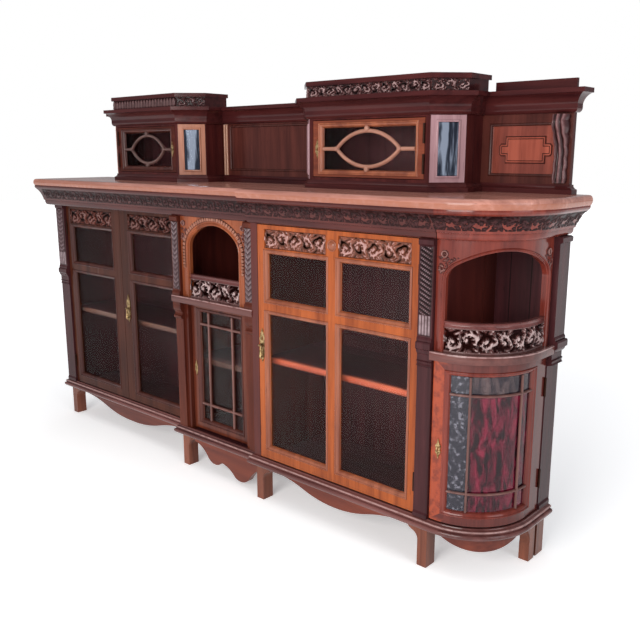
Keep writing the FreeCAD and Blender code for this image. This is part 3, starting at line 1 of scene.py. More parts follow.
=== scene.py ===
import bpy
import math
import numpy as np
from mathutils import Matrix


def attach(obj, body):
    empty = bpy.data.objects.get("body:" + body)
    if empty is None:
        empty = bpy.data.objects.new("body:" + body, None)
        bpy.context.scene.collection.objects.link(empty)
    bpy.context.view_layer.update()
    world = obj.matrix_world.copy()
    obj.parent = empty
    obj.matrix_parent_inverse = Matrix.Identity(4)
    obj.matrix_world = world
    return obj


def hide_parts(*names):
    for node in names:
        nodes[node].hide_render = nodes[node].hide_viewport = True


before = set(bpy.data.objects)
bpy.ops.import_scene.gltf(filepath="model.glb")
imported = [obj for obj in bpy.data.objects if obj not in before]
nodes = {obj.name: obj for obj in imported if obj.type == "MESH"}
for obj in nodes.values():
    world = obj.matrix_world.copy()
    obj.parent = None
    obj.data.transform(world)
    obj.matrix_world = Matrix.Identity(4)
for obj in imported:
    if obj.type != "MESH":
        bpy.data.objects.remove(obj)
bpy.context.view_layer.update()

# Room: a white floor and surround, a broad window light from the front with soft fills
# from the side and above, and the camera where the photograph was taken. Metres, +Z up,
# the front faces -Y.
scene = bpy.context.scene
scene.view_settings.view_transform = "Standard"

view = bpy.data.cameras.new("photo_camera")
view.sensor_width = 36
view.lens = 42.78
camera = bpy.data.objects.new("photo_camera", view)
camera.location = (1.859, -1.715, 1.106)
camera.rotation_euler = (math.radians(77.533), 0, math.radians(41.637))
scene.collection.objects.link(camera)
scene.camera = camera


def lamp(name, place, target, width, height, power, colour):
    """A rectangular soft light at a place, turned to face a target."""
    data = bpy.data.lights.new(name, "AREA")
    data.shape = "RECTANGLE"
    data.size = width
    data.size_y = height
    data.energy = power
    data.color = colour
    item = bpy.data.objects.new(name, data)
    item.location = place
    gaze = np.array(target) - np.array(place)
    across = math.hypot(gaze[0], gaze[1])
    item.rotation_euler = (math.atan2(across, -gaze[2]), 0, math.atan2(-gaze[0], gaze[1]))
    scene.collection.objects.link(item)


lamp("front_window", (1.15, -3.3, 1.5), (0.55, 0, 0.55), 1.9, 1.7, 95, (1.0, 0.98, 0.95))
lamp("side_fill", (4.2, -0.6, 1.7), (0.6, 0, 0.6), 1.6, 2.2, 34, (0.93, 0.96, 1.0))
lamp("ceiling", (0.0, -0.6, 3.4), (0.0, 0, 0.9), 3.0, 1.8, 26, (1.0, 0.99, 0.97))


def white_to_the_eye(tree, lit):
    """Mix a lit shader with plain white for rays that show the background: those from the
    camera, straight or through glass."""
    path = tree.nodes.new("ShaderNodeLightPath")
    seen = tree.nodes.new("ShaderNodeMath")
    seen.operation = "MAXIMUM"
    white = tree.nodes.new("ShaderNodeBackground")
    white.inputs["Color"].default_value = (1, 1, 1, 1)
    mix = tree.nodes.new("ShaderNodeMixShader")
    tree.links.new(path.outputs["Is Camera Ray"], seen.inputs[0])
    tree.links.new(path.outputs["Is Transmission Ray"], seen.inputs[1])
    tree.links.new(seen.outputs[0], mix.inputs[0])
    tree.links.new(lit.outputs[0], mix.inputs[1])
    tree.links.new(white.outputs[0], mix.inputs[2])
    return mix


world = bpy.data.worlds.new("white_room")
world.use_nodes = True
scene.world = world
sky = world.node_tree
ambient = sky.nodes["Background"]
ambient.inputs["Color"].default_value = (0.93, 0.95, 1.0, 1)
ambient.inputs["Strength"].default_value = 0.42
surround = white_to_the_eye(sky, ambient)
sky.links.new(surround.outputs[0], sky.nodes["World Output"].inputs["Surface"])


def new_paint(name, plain):
    """A new material, its node tree and its Principled shader, with plain values set."""
    paint = bpy.data.materials.new(name)
    paint.use_nodes = True
    body = paint.node_tree.nodes["Principled BSDF"]
    for port, value in plain.items():
        body.inputs[port].default_value = value
    return paint, paint.node_tree, body


# The floor glows more with distance, so that it runs into the white and keeps the shadow.
bpy.ops.mesh.primitive_plane_add(size=30)
floor = bpy.context.object
floor.name = "floor"
floor_paint, floor_tree, floor_body = new_paint("white_floor", {
    "Base Color": (1, 1, 1, 1), "Roughness": 0.9, "Emission Color": (1, 1, 1, 1)})
distance = floor_tree.nodes.new("ShaderNodeVectorMath")
distance.operation = "LENGTH"
glow = floor_tree.nodes.new("ShaderNodeMapRange")
for port, amount in (("From Min", 0.9), ("From Max", 4.5), ("To Min", 0.3), ("To Max", 0.9)):
    glow.inputs[port].default_value = amount
for source, port in (
        (floor_tree.nodes.new("ShaderNodeTexCoord").outputs["Object"], distance.inputs[0]),
        (distance.outputs["Value"], glow.inputs["Value"]),
        (glow.outputs["Result"], floor_body.inputs["Emission Strength"])):
    floor_tree.links.new(source, port)
floor.data.materials.append(floor_paint)


# Carcase boards: dark mahogany bottom, sides, partitions, shelves and tongued back boards,
# planed flat, stained and polished. They are the boards of the frame itself.
def object_place(tree):
    """Places in the object's own coordinates."""
    return tree.nodes.new("ShaderNodeTexCoord").outputs["Object"]


def drawn_out(tree, place, scale):
    """A place times (x, y, z): a pattern is drawn out along the axis of the smallest."""
    item = tree.nodes.new("ShaderNodeMapping")
    item.inputs["Scale"].default_value = scale
    tree.links.new(place, item.inputs["Vector"])
    return item.outputs["Vector"]


def axes(tree, place):
    """The X, Y and Z of a place."""
    item = tree.nodes.new("ShaderNodeSeparateXYZ")
    tree.links.new(place, item.inputs[0])
    return item.outputs


def depth_mark(tree):
    """The piece's own depth attribute, from 0 in the hollows to 1 on the high parts. On
    some plain pieces it marks instead where painted highlight, painted light and painted
    shade are laid, and on the bent pane how far round the curve each point lies.
    """
    item = tree.nodes.new("ShaderNodeAttribute")
    item.attribute_name = "depth"
    return item.outputs["Fac"]


def noise(tree, place, scale, detail, roughness=0.55, distortion=0.0):
    """Fractal noise read at a place, from 0 to 1."""
    item = tree.nodes.new("ShaderNodeTexNoise")
    for port, amount in (("Scale", scale), ("Detail", detail), ("Roughness", roughness),
                         ("Distortion", distortion)):
        item.inputs[port].default_value = amount
    tree.links.new(place, item.inputs["Vector"])
    return item.outputs["Fac"]


def span(tree, value, low, high, to_low=0.0, to_high=1.0):
    """A value between low and high carried smoothly to the range to_low, to_high."""
    item = tree.nodes.new("ShaderNodeMapRange")
    item.interpolation_type = "SMOOTHSTEP"
    for port, amount in (("From Min", low), ("From Max", high),
                         ("To Min", to_low), ("To Max", to_high)):
        item.inputs[port].default_value = amount
    tree.links.new(value, item.inputs["Value"])
    return item.outputs["Result"]


def sums(tree, kind, first, second):
    """One step of arithmetic on two values, either of which may be a number."""
    item = tree.nodes.new("ShaderNodeMath")
    item.operation = kind
    for port, value in zip(item.inputs, (first, second)):
        if isinstance(value, (int, float)):
            port.default_value = value
        else:
            tree.links.new(value, port)
    return item.outputs[0]


def wood_figure():
    """Node group for straight-grained polished wood. Streaks are noise drawn out along the
    grain, ribbons are broad noise bent by a little distortion, pores are fine short dashes.
    Figure is the light and dark of the wood, Pores the dark flecks, Height the relief and
    Haze the uneven shine of old polish."""
    tree = bpy.data.node_groups.new("wood_figure", "ShaderNodeTree")
    tree.interface.new_socket(name="Place", in_out="INPUT", socket_type="NodeSocketVector")
    for name in ("Figure", "Pores", "Height", "Haze"):
        tree.interface.new_socket(name=name, in_out="OUTPUT", socket_type="NodeSocketFloat")
    enter = tree.nodes.new("NodeGroupInput")
    leave = tree.nodes.new("NodeGroupOutput")
    place = enter.outputs["Place"]
    ribbon = span(tree, noise(tree, place, 0.35, 3, 0.5, 1.2), 0.34, 0.68)
    streak = span(tree, noise(tree, place, 1.6, 6, 0.62, 0.4), 0.3, 0.72)
    figure = sums(tree, "ADD", sums(tree, "MULTIPLY", ribbon, 0.55),
                  sums(tree, "MULTIPLY", streak, 0.45))
    pores = span(tree, noise(tree, place, 9.0, 2, 0.5), 0.62, 0.76)
    haze = noise(tree, place, 0.12, 4, 0.6)
    height = sums(tree, "SUBTRACT", sums(tree, "MULTIPLY", streak, 0.4), pores)
    for name, value in (("Figure", figure), ("Pores", pores), ("Height", height), ("Haze", haze)):
        tree.links.new(value, leave.inputs[name])
    return tree


figure_group = wood_figure()
GRAIN = {"up": (38, 38, 2.6), "across": (2.6, 38, 38)}


def blend_colours(tree, share, first, second):
    """Mix of two colours, each a tuple or a socket, by a share that may be a number."""
    item = tree.nodes.new("ShaderNodeMix")
    item.data_type = "RGBA"
    share_port, first_port, second_port = item.inputs[0], item.inputs[6], item.inputs[7]
    for port, value in ((share_port, share), (first_port, first), (second_port, second)):
        if isinstance(value, (int, float)):
            port.default_value = value
        elif isinstance(value, tuple):
            port.default_value = (*value, 1)
        else:
            tree.links.new(value, port)
    return item.outputs[2]


def wood(name, dark, light, grain="up", shine=0.26, coat=0.2, wear_and_painted_light=None, staves=None,
         painted_hollow_shade=0.82, gloss=0.2):
    """Polished mahogany. Base colour runs from dark to light with the figure, a little
    darker in the pores; the polish is uneven. The marked colour is laid where the depth
    attribute is high: on the high parts of carving it is part wear and part painted
    highlight; on plain pieces it is painted highlight on mouldings, painted light on the
    end door's left stile and painted shade under the top's nose. The low parts of carving
    darken by the given share as painted shade. Staves is the pitch of dark joints between
    upright boards."""
    paint, tree, body = new_paint(name + "_mahogany", {
        "Specular IOR Level": gloss, "Coat Weight": coat * 0.5, "Coat Roughness": 0.12})
    where = object_place(tree)
    group = tree.nodes.new("ShaderNodeGroup")
    group.node_tree = figure_group
    tree.links.new(drawn_out(tree, where, GRAIN[grain]), group.inputs["Place"])

    def darkened(colour, share, tone):
        """The colour mixed by a share with the dark one times a tone."""
        return blend_colours(tree, share, colour, tuple(c * tone for c in dark))
    colour = blend_colours(tree, group.outputs["Figure"], dark, light)
    colour = darkened(colour, sums(tree, "MULTIPLY", group.outputs["Pores"], 0.5), 0.35)
    cloud = span(tree, noise(tree, where, 3.2, 3), 0.32, 0.7)
    colour = darkened(colour, sums(tree, "MULTIPLY", cloud, 0.3), 0.62)
    if wear_and_painted_light:
        # Painted shade darkens the low parts of carving. The marked colour, part wear and part
        # painted highlight, goes on the high parts in patches.
        depth = depth_mark(tree)
        colour = darkened(colour, span(tree, depth, 0.0, 0.42, painted_hollow_shade, 0.0), 0.22)
        ridge_wear_and_highlight = span(tree, depth, 0.45, 0.95, 0.0, 0.85)
        ridge_patches = span(tree, noise(tree, where, 60, 3), 0.25, 0.6, 0.35, 1.0)
        colour = blend_colours(tree, sums(tree, "MULTIPLY", ridge_wear_and_highlight, ridge_patches), colour, wear_and_painted_light)
    if staves:
        place = axes(tree, where)
        wave = sums(tree, "PINGPONG", sums(tree, "ADD", place["X"], place["Y"]), staves / 2)
        colour = darkened(colour, span(tree, wave, 0.0006, 0.0024, 1.0, 0.0), 0.2)
    tree.links.new(colour, body.inputs["Base Color"])
    rough = sums(tree, "ADD", sums(tree, "MULTIPLY", group.outputs["Haze"], 0.22), shine - 0.1)
    tree.links.new(rough, body.inputs["Roughness"])
    bump = tree.nodes.new("ShaderNodeBump")
    bump.inputs["Strength"].default_value = 0.12
    bump.inputs["Distance"].default_value = 0.0006
    tree.links.new(group.outputs["Height"], bump.inputs["Height"])
    tree.links.new(bump.outputs["Normal"], body.inputs["Normal"])
    return paint


def finish_nodes(paint, *names):
    """Give frame pieces their finish."""
    for name in names:
        data = nodes[name].data
        data.materials.clear()
        data.materials.append(paint)


PLUM_DARK = (0.040, 0.0105, 0.0125)
PLUM = (0.085, 0.021, 0.024)
STAVE = 0.062

inner_wood = wood("inside", (0.030, 0.008, 0.010), (0.088, 0.021, 0.025), "up", 0.4, 0.1,
                  staves=STAVE)
shelf_wood = wood("shelf", PLUM_DARK, PLUM, "across", 0.36, 0.15)
side_wood = wood("side", PLUM_DARK, PLUM, "up", 0.3)
divider_wood = wood("divider", (0.050, 0.009, 0.008), (0.11, 0.020, 0.014), "up", 0.28)
finish_nodes(inner_wood, "back_boards", "upper_back_board")
finish_nodes(shelf_wood, "bottom_boards", "shelves", "head_rails")
finish_nodes(side_wood, "left_side_panel", "right_side_panel")
finish_nodes(divider_wood, "partition_a_b", "partition_b_c", "partition_c_end")


# Base moulding: a double bead over a fillet, run round the stepped front and the curved
# end. Long lengths of shaped mahogany, mitred at the corners and glued to the carcase.
X_A, X_B, X_C, X_END = -1.047, -0.237, 0.165, 0.833
X_ROUND, X_RIGHT = 0.849, 1.025
Y_C, Y_B, Y_A, Y_ROUND, Y_SIDE = -0.127, -0.109, -0.070, 0.049, 0.115
Y_BACK, Y_INNER = 0.189, 0.177
RADIUS = X_RIGHT - X_ROUND


def bow(start, end, rise, steps=10):
    """Points from start to end along a shallow bow: the chord plus rise times 4t(1 - t) to
    the left of it."""
    start, end = np.array(start, float), np.array(end, float)
    t = np.linspace(0, 1, steps)[:, None]
    along = end - start
    left = np.array([-along[1], along[0]]) / np.hypot(*along)
    return start + along * t + left * (rise * 4 * t * (1 - t))


def line_up(*runs):
    """Join runs of points end to end, leaving out points that repeat."""
    points = np.concatenate([np.atleast_2d(np.array(run, float)) for run in runs])
    keep = np.r_[True, np.hypot(*np.diff(points, axis=0).T) > 1e-6]
    return points[keep]


def quarter(radius, steps=40):
    """Plan points on the curved end: angle 0 faces the front and 90 the right side."""
    a = np.radians(np.linspace(0, 90, steps))
    return np.stack([X_ROUND + radius * np.sin(a), Y_ROUND - radius * np.cos(a)], 1)


def outward(path):
    """Directions to the right of travel at each point of a plan path, lengthened at a
    corner so that what is offset by them keeps its width: (a + b) / (1 + a.b)."""
    step = np.diff(path, axis=0)
    step /= np.hypot(*step.T)[:, None]
    side = np.stack([step[:, 1], -step[:, 0]], 1)
    before = np.concatenate([side[:1], side])
    after = np.concatenate([side, side[-1:]])
    return (before + after) / (1 + (before * after).sum(1))[:, None]


def run_along(path, section):
    """A moulding: section points (out, up) carried along a plan path."""
    path, section = np.array(path, float), np.array(section, float)
    flat = path[:, None, :] + outward(path)[:, None, :] * section[None, :, :1]
    level = np.broadcast_to(section[None, :, 1:], flat.shape[:2] + (1,))
    return np.concatenate([flat, level], 2)


def volume(spots, quads, caps):
    """Six times the volume inside a closed skin, negative when its faces look inwards: the
    sum of a . (b x c) over its triangles."""
    a, b, c, d = (spots[quads[:, k]] for k in range(4))
    total = (a * np.cross(b, c)).sum() + (a * np.cross(c, d)).sum()
    for cap in caps:
        ring = spots[cap]
        total += (ring[0] * np.cross(ring[1:-1], ring[2:])).sum()
    return total


CREASE = math.radians(32)


def skin(points, closed=False, ends=False, shut=False, shade=None):
    """Quads over a grid of points. Closed joins the last column to the first, shut the
    last row to the first, ends caps the first and last rows. Closed skins face outwards."""
    rows, cols = points.shape[:2]
    index = np.arange(rows * cols).reshape(rows, cols)
    across = np.concatenate([index, index[:, :1]], 1) if closed else index
    across = np.concatenate([across, across[:1]], 0) if shut else across
    quads = np.stack([across[:-1, :-1], across[1:, :-1], across[1:, 1:], across[:-1, 1:]], -1)
    quads = quads.reshape(-1, 4)
    faces = quads.tolist()
    if ends:
        faces += [index[0].tolist(), index[-1][::-1].tolist()]
    spots = points.reshape(-1, 3)
    if closed and (ends or shut) and volume(spots, quads, faces[len(quads):]) < 0:
        faces = [face[::-1] for face in faces]
    shade = np.zeros((rows, cols)) if shade is None else shade
    return spots, faces, shade.ravel()


def piece(name, parts, paint, stands_for=(), body="carcase"):
    """One object from several skins, smooth but for edges sharper than the crease. It
    stands for the named frame pieces, rides on a body and has one material slot."""
    spots, faces, shades = [], [], []
    start = 0
    for points, quads, shade in parts:
        spots.append(points)
        shades.append(shade)
        if len({len(quad) for quad in quads}) == 1:
            faces += (np.array(quads) + start).tolist()
        else:
            faces += [[corner + start for corner in quad] for quad in quads]
        start += len(points)
    mesh = bpy.data.meshes.new(name)
    mesh.from_pydata(np.concatenate(spots).tolist(), [], faces)
    shade = np.concatenate(shades)
    if shade.any():
        marks = mesh.attributes.new("depth", "FLOAT", "POINT")
        marks.data.foreach_set("value", shade.astype(np.float32))
    mesh.shade_smooth()
    mesh.set_sharp_from_angle(angle=CREASE)
    mesh.materials.append(paint)
    item = bpy.data.objects.new(name, mesh)
    scene.collection.objects.link(item)
    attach(item, body)
    if stands_for:
        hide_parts(*stands_for)
    return item


moulding_wood = wood("moulding", (0.070, 0.021, 0.019), (0.20, 0.075, 0.066), "across", 0.22, 0.5,
                     (0.50, 0.32, 0.30), painted_hollow_shade=0)
base_path = line_up([(X_A, Y_INNER), (X_A, Y_A), (X_B, Y_A), (X_B, Y_B), (X_C, Y_B), (X_C, Y_C)],
                    quarter(RADIUS), [(X_RIGHT, Y_INNER)])
base_section = line_up([(0, 0.122), (0.0165, 0.122)],
                       bow((0.0165, 0.1225), (0.0165, 0.1345), -0.0028), [(0.0125, 0.1355)],
                       bow((0.0125, 0.1362), (0.0095, 0.1462), -0.0038),
                       [(0.006, 0.1475), (0.005, 0.15), (0, 0.15)])
UPPER_BEAD, LOWER_BEAD = 0.1435, 0.1315
# Painted highlight: a light grey-pink line along the crown of each bead.
crown_highlight = np.maximum(0.75 * (abs(base_section[:, 1] - UPPER_BEAD) < 0.0019),
                    0.5 * (abs(base_section[:, 1] - LOWER_BEAD) < 0.0015))
base_run = run_along(base_path, base_section)
base_highlight_marks = np.broadcast_to(crown_highlight, base_run.shape[:2])
piece("base_moulding_run", [skin(base_run, closed=True, ends=True, shade=base_highlight_marks)],
      moulding_wood, ["base_moulding"])


# Feet and aprons: mahogany brackets and shaped aprons, sawn out and glued to blocks under
# the moulding. The curved end's apron is bent from thin layers and hangs as a shallow bow.
foot_wood = wood("foot", (0.085, 0.023, 0.014), (0.26, 0.082, 0.045), "up", 0.28)
apron_wood = wood("apron", (0.085, 0.018, 0.013), (0.21, 0.045, 0.022), "across", 0.28)
finish_nodes(foot_wood, "bracket_feet")
finish_nodes(apron_wood, "front_aprons")

APRON_TOP, APRON_DROP = 0.122, 0.042
apron_turn = np.radians(np.linspace(0, 88, 45))
apron_reach, apron_thick = RADIUS - 0.004, 0.02
from_middle = (apron_turn - math.radians(45)) / math.radians(40)
apron_low = APRON_TOP - APRON_DROP * (0.2 + 0.8 * np.clip(1 - from_middle ** 2, 0, 1))


def bent_board(turn, low, high, outer, inner):
    """A board on the curved end: at each angle a flat section from low to high and from
    the outer to the inner radius."""
    corners = [(outer, low), (outer, high), (inner, high), (inner, low)]
    rows = []
    for radius, level in corners:
        level = np.broadcast_to(level, turn.shape)
        rows.append(np.stack([X_ROUND + radius * np.sin(turn),
                              Y_ROUND - radius * np.cos(turn), level], 1))
    return np.stack(rows, 1)


apron_board = bent_board(apron_turn, apron_low, APRON_TOP, apron_reach, apron_reach - apron_thick)
piece("apron_end_board", [skin(apron_board, closed=True, ends=True)], apron_wood, ["apron_end"])


# Shelf lippings: thin strips of mahogany glued along the front edges of the inner shelves.
# Right of the middle they are painted lighter, as if lit, and show as orange-red lines
# through the glass; left of it the same strips are painted darker, as shade.
lit_lipping_wood = wood("lipping", (0.36, 0.060, 0.030), (0.60, 0.13, 0.062), "across", 0.3)
shaded_lipping_wood = wood("shaded_lipping", (0.075, 0.028, 0.020), (0.17, 0.070, 0.050), "across", 0.3)
LIPPING = np.array([(-0.003, 0.0006), (0.0012, 0.0006), (0.0012, 0.0174), (-0.003, 0.0174)])
SHELF_A, SHELF_B, SHELF_C, SHELF_END = 0.452, 0.380, 0.458, 0.372
lippings = [skin(run_along(path, LIPPING + (0, low)), closed=True, ends=True) for path, low in (
    ([(X_A + 0.024, -0.030), (X_B, -0.030)], SHELF_A),
    ([(X_B + 0.022, -0.047), (X_C, -0.047)], SHELF_B),
    ([(X_C + 0.028, -0.087), (X_END - 0.022, -0.087)], SHELF_C),
    (quarter(RADIUS - 0.040, 30), SHELF_END))]
piece("shelf_lippings_left", lippings[:2], shaded_lipping_wood)
piece("shelf_lippings_right", lippings[2:], lit_lipping_wood)


# Niche floors: thick mahogany boards with a half-round nose that runs on past the fronts.
# The nose strips are glued over the front edges of the boards.
LEDGE_B, LEDGE_END, LEDGE, LEDGE_REACH = 0.604, 0.594, 0.021, 0.019
FLOOR_B, FLOOR_END = LEDGE_B + LEDGE, LEDGE_END + LEDGE
ledge_wood = wood("ledge", (0.060, 0.018, 0.016), (0.15, 0.050, 0.042), "across", 0.2, 0.5,
                  (0.36, 0.22, 0.21), painted_hollow_shade=0)
finish_nodes(ledge_wood, "niche_floors")
PROUD = 0.0004
nose = line_up([(-0.006, 0.0)], bow((PROUD, -PROUD), (PROUD, LEDGE + PROUD), 0.0),
               [(-0.006, LEDGE + PROUD)])
nose[1:-1, 0] += 0.0012 * np.sin(np.linspace(0, np.pi, len(nose) - 2))
ledge_end_path = line_up([(X_END, Y_C - LEDGE_REACH)], quarter(RADIUS + LEDGE_REACH),
                         [(X_RIGHT + LEDGE_REACH, Y_SIDE)])
noses = [run_along(path, nose + (0, low)) for path, low in (
    ([(X_B, Y_B - LEDGE_REACH), (X_C, Y_B - LEDGE_REACH)], LEDGE_B), (ledge_end_path, LEDGE_END))]
# Painted highlight: a light line along the top of the nose.
nose_top_highlight = 0.9 * (nose[:, 1] > LEDGE * 0.82)
piece("niche_noses", [
    skin(run, closed=True, ends=True, shade=np.broadcast_to(nose_top_highlight, run.shape[:2]))
    for run in noses], ledge_wood)


# Niche fronts: thick boards sawn to a three-centred arch, edged with a bead, with small
# leaves and a rosette carved in the corners. The end's board is bent round the curve.
def straight(x0, y0, x1, y1):
    """A flat upright front from one plan point to another: s runs along it, out points to
    the right of that travel."""
    along = np.array([x1 - x0, y1 - y0]) / math.hypot(x1 - x0, y1 - y0)

    def place(s, z, out):
        """Start plus s along, z up and out to the right."""
        s, z, out = np.broadcast_arrays(s, z, out)
        return np.stack([x0 + along[0] * s + along[1] * out,
                         y0 + along[1] * s - along[0] * out, z], -1)
    return place


BEND = RADIUS * math.pi / 2


def round_end(s, z, out):
    """The curved end laid out flat: s is 0 where the curve starts, and past the curve's
    length the surface runs straight back."""
    s, z, out = np.broadcast_arrays(np.asarray(s, float), z, out)
    turn = np.clip(s, 0, BEND) / RADIUS
    return np.stack([X_ROUND + np.minimum(s, 0) + (RADIUS + out) * np.sin(turn),
                     Y_ROUND - (RADIUS + out) * np.cos(turn) + np.maximum(s - BEND, 0), z], -1)


def bead(place, path, section, loop=False):
    """A moulding on an upright front: section points (aside, out) carried along a path of
    (s, z), aside being measured to the right of travel. A loop returns to its start."""
    path = np.array(path, float)
    if loop:
        wide = outward(np.concatenate([path[-1:], path, path[:1]]))[1:-1]
    else:
        wide = outward(path)
    flat = path[:, None, :] + wide[:, None, :] * section[None, :, :1]
    points = place(flat[..., 0], flat[..., 1], section[None, :, 1])
    return skin(points, closed=True, ends=not loop, shut=loop)


def arch_line(half, spring, rise, corner, foot):
    """Outline of an arch from the foot of its right jamb over to the left one: two tight
    corner arcs and one broad crown, tangent to each other."""
    steps = 26
    crown = (half * half + rise * rise - 2 * half * corner) / (2 * (rise - corner))
    meet = math.atan2(crown - rise, half - corner)
    a = np.linspace(0, meet, steps)
    right = np.stack([half - corner + corner * np.cos(a), spring + corner * np.sin(a)], 1)
    a = np.linspace(meet, math.pi - meet, steps * 2)
    top = np.stack([crown * np.cos(a), spring + rise - crown + crown * np.sin(a)], 1)
    jamb = np.linspace(foot, spring, 6)[:-1]
    foot_right = np.stack([np.full(5, half), jamb], 1)
    left = (right * (-1, 1))[::-1]
    return line_up(foot_right, right, top, left, (foot_right * (-1, 1))[::-1])


def arched_board(place, edge, left, right, top, thick):
    """A board between an arched edge and a straight-sided border. Each point of the edge
    looks sideways to the border in the jambs, and away from the arch's middle above."""
    middle = np.array([(left + right) / 2, edge[:, 1].min() + 0.62 * np.ptp(edge[:, 1])])
    ray = edge - middle
    high = edge[:, 1] > middle[1]
    wide = np.where(ray[:, 0] > 0, right - middle[0], middle[0] - left)
    reach = np.minimum(wide / np.maximum(np.abs(ray[:, 0]), 1e-6),
                       (top - middle[1]) / np.maximum(ray[:, 1], 1e-6))
    border = middle + ray * reach[:, None]
    border[~high] = np.stack([np.where(ray[:, 0] > 0, right, left), edge[:, 1]], 1)[~high]
    share = np.linspace(0, 1, 9)[None, :, None]
    face = border[:, None] * (1 - share) + edge[:, None] * share
    face = np.concatenate([face[:, :1], face, face[:, -1:]], 1)
    out = np.zeros(face.shape[1])
    out[[0, -1]] = -thick
    return skin(place(face[..., 0], face[..., 1], out[None]), closed=True, ends=True)


def smooth(value, low, high):
    """0 below low, 1 above high, and an S-shaped rise between them."""
    t = np.clip((value - low) / (high - low), 0, 1)
    return t * t * (3 - 2 * t)


def carve(place, s0, s1, z0, z1, field, height, fine=0.0011, sunk=0.002, base=0.0):
    """Carving on a front: the field, from 0 to 1 over (s, z), lifts the surface by height.
    The rim is tucked below the ground so that the piece has no open edge in sight."""
    s = np.linspace(s0, s1, max(int((s1 - s0) / fine), 4))
    z = np.linspace(z0, z1, max(int((z1 - z0) / fine), 4))
    s, z = np.meshgrid(s, z, indexing="ij")
    share = field(s - s0, z - z0)
    out = base + height * share
    out, share, s, z = (np.pad(out, 1, constant_values=base - sunk), np.pad(share, 1),
                        np.pad(s, 1, mode="edge"), np.pad(z, 1, mode="edge"))
    return skin(place(s, z, out), shade=np.clip(share, 0.001, 1))


def volutes(s, z, pitch, tall):
    """Leaf scrolls. In each pitch a slim stem winds in where cos(a - 3.6 ln r) peaks, and
    turns the other way in the next pitch. Broad leaves grow from its outer side, cut into
    lobes by cos(8a + 7r), and palmate leaves of cos(7a - 6r) fill the corners. A slow wave
    bends the whole so that no two scrolls are quite alike."""
    turn = s / pitch
    bend = s + pitch * (0.10 * np.sin(2.1 * turn + 9 * z / tall) + 0.05 * np.sin(5.3 * turn))
    count = np.floor(bend / pitch)
    hand = 1 - 2 * (count % 2)
    x = (bend - (count + 0.5) * pitch) * (tall / pitch) ** 0.35
    y = (z - tall / 2 + 0.06 * tall * np.sin(3.7 * turn)) * hand
    r, a = np.hypot(x, y) / (tall * 0.5), np.arctan2(y, x)
    wind = 0.5 + 0.5 * np.cos(a - 3.6 * np.log(r + 0.15))
    stem = 0.85 * smooth(wind, 0.8, 0.97)
    lobes = 0.5 + 0.5 * np.cos(8 * a + 7 * r)
    leaf = smooth(wind, 0.1, 0.75) * smooth(lobes, 0.05, 0.7)
    leaf *= 0.75 + 0.25 * np.cos(16 * a + 14 * r)
    palm = smooth(0.5 + 0.5 * np.cos(7 * a - 6 * r * hand), 0.1, 0.8)
    palm *= 0.72 + 0.28 * np.cos(21 * a + 8 * r)
    inner = smooth(r, 1.05, 0.8)
    eye = smooth(r, 0.2, 0.1)
    edge = smooth(z, 0.0, tall * 0.06) * smooth(tall - z, 0.0, tall * 0.06)
    scroll = np.maximum(np.maximum(stem, leaf), eye)
    return edge * np.maximum(inner * scroll, (1 - inner) * palm * 0.9)


carved_dark = wood("carved", (0.050, 0.011, 0.010), (0.12, 0.026, 0.020), "up", 0.34, 0.2,
                   wear_and_painted_light=(0.30, 0.155, 0.135))
end_wood = wood("end", (0.095, 0.014, 0.010), (0.215, 0.038, 0.024), "up", 0.15, 0.6, gloss=0.16)
arch_wood = wood("arch", (0.15, 0.034, 0.014), (0.34, 0.090, 0.032), "up", 0.24)

ARCH_TOP = 0.897
B_WIDE = (X_C - X_B) / 2
b_front = straight(X_B + B_WIDE, Y_B, X_C, Y_B)
edge_b = arch_line(half=0.124, spring=0.790, rise=0.084, corner=0.060, foot=FLOOR_B)
ARCH_THICK = 0.018
arch_bead = line_up(bow((0.013, -0.002), (0.009, 0.0035), -0.001, 5),
                    bow((0.009, 0.0035), (0.004, 0.003), -0.002, 6),
                    bow((0.004, 0.003), (-0.002, -0.006), 0.0012, 6))
piece("arch_b_front", [
    arched_board(b_front, edge_b, -B_WIDE, B_WIDE, ARCH_TOP, ARCH_THICK),
    bead(b_front, edge_b, arch_bead * 0.7)],
    arch_wood, ["arch_frame_b"])

ARCH_START, ARCH_STOP = math.radians(3), 0.047
front_jamb = RADIUS * np.array([math.sin(ARCH_START), -math.cos(ARCH_START)])
side_jamb = np.array([RADIUS, ARCH_STOP])
end_half = np.hypot(*(side_jamb - front_jamb)) / 2
end_along = (side_jamb - front_jamb) / (2 * end_half)
end_ahead = np.array([end_along[1], -end_along[0]])


def onto_curve(line):
    """Carry an arch drawn on the flat between the two jambs straight forward onto the
    curved front, and give it as (s, z): the reach t solves |flat + t ahead| = RADIUS."""
    flat = (front_jamb + side_jamb) / 2 + line[:, :1] * end_along
    lean = flat @ end_ahead
    root = np.sqrt(np.maximum(lean ** 2 - (flat ** 2).sum(1) + RADIUS ** 2, 0))
    hit = flat + end_ahead * (root - lean)[:, None]
    side = flat + end_ahead * ((RADIUS - flat[:, 0]) / end_ahead[0])[:, None]
    s = np.where(hit[:, 1] > 0, BEND + side[:, 1], RADIUS * np.arctan2(hit[:, 0], -hit[:, 1]))
    return np.stack([s, line[:, 1]], 1)


edge_end = onto_curve(arch_line(end_half, spring=0.795, rise=0.078, corner=0.052, foot=FLOOR_END))
piece("arch_end_front", [
    arched_board(round_end, edge_end, -0.0155, BEND + Y_SIDE - Y_ROUND, ARCH_TOP, ARCH_THICK),
    bead(round_end, edge_end, arch_bead * (0.6, 0.7))],
    end_wood, ["arch_frame_end"])


ROSETTE = 0.0095


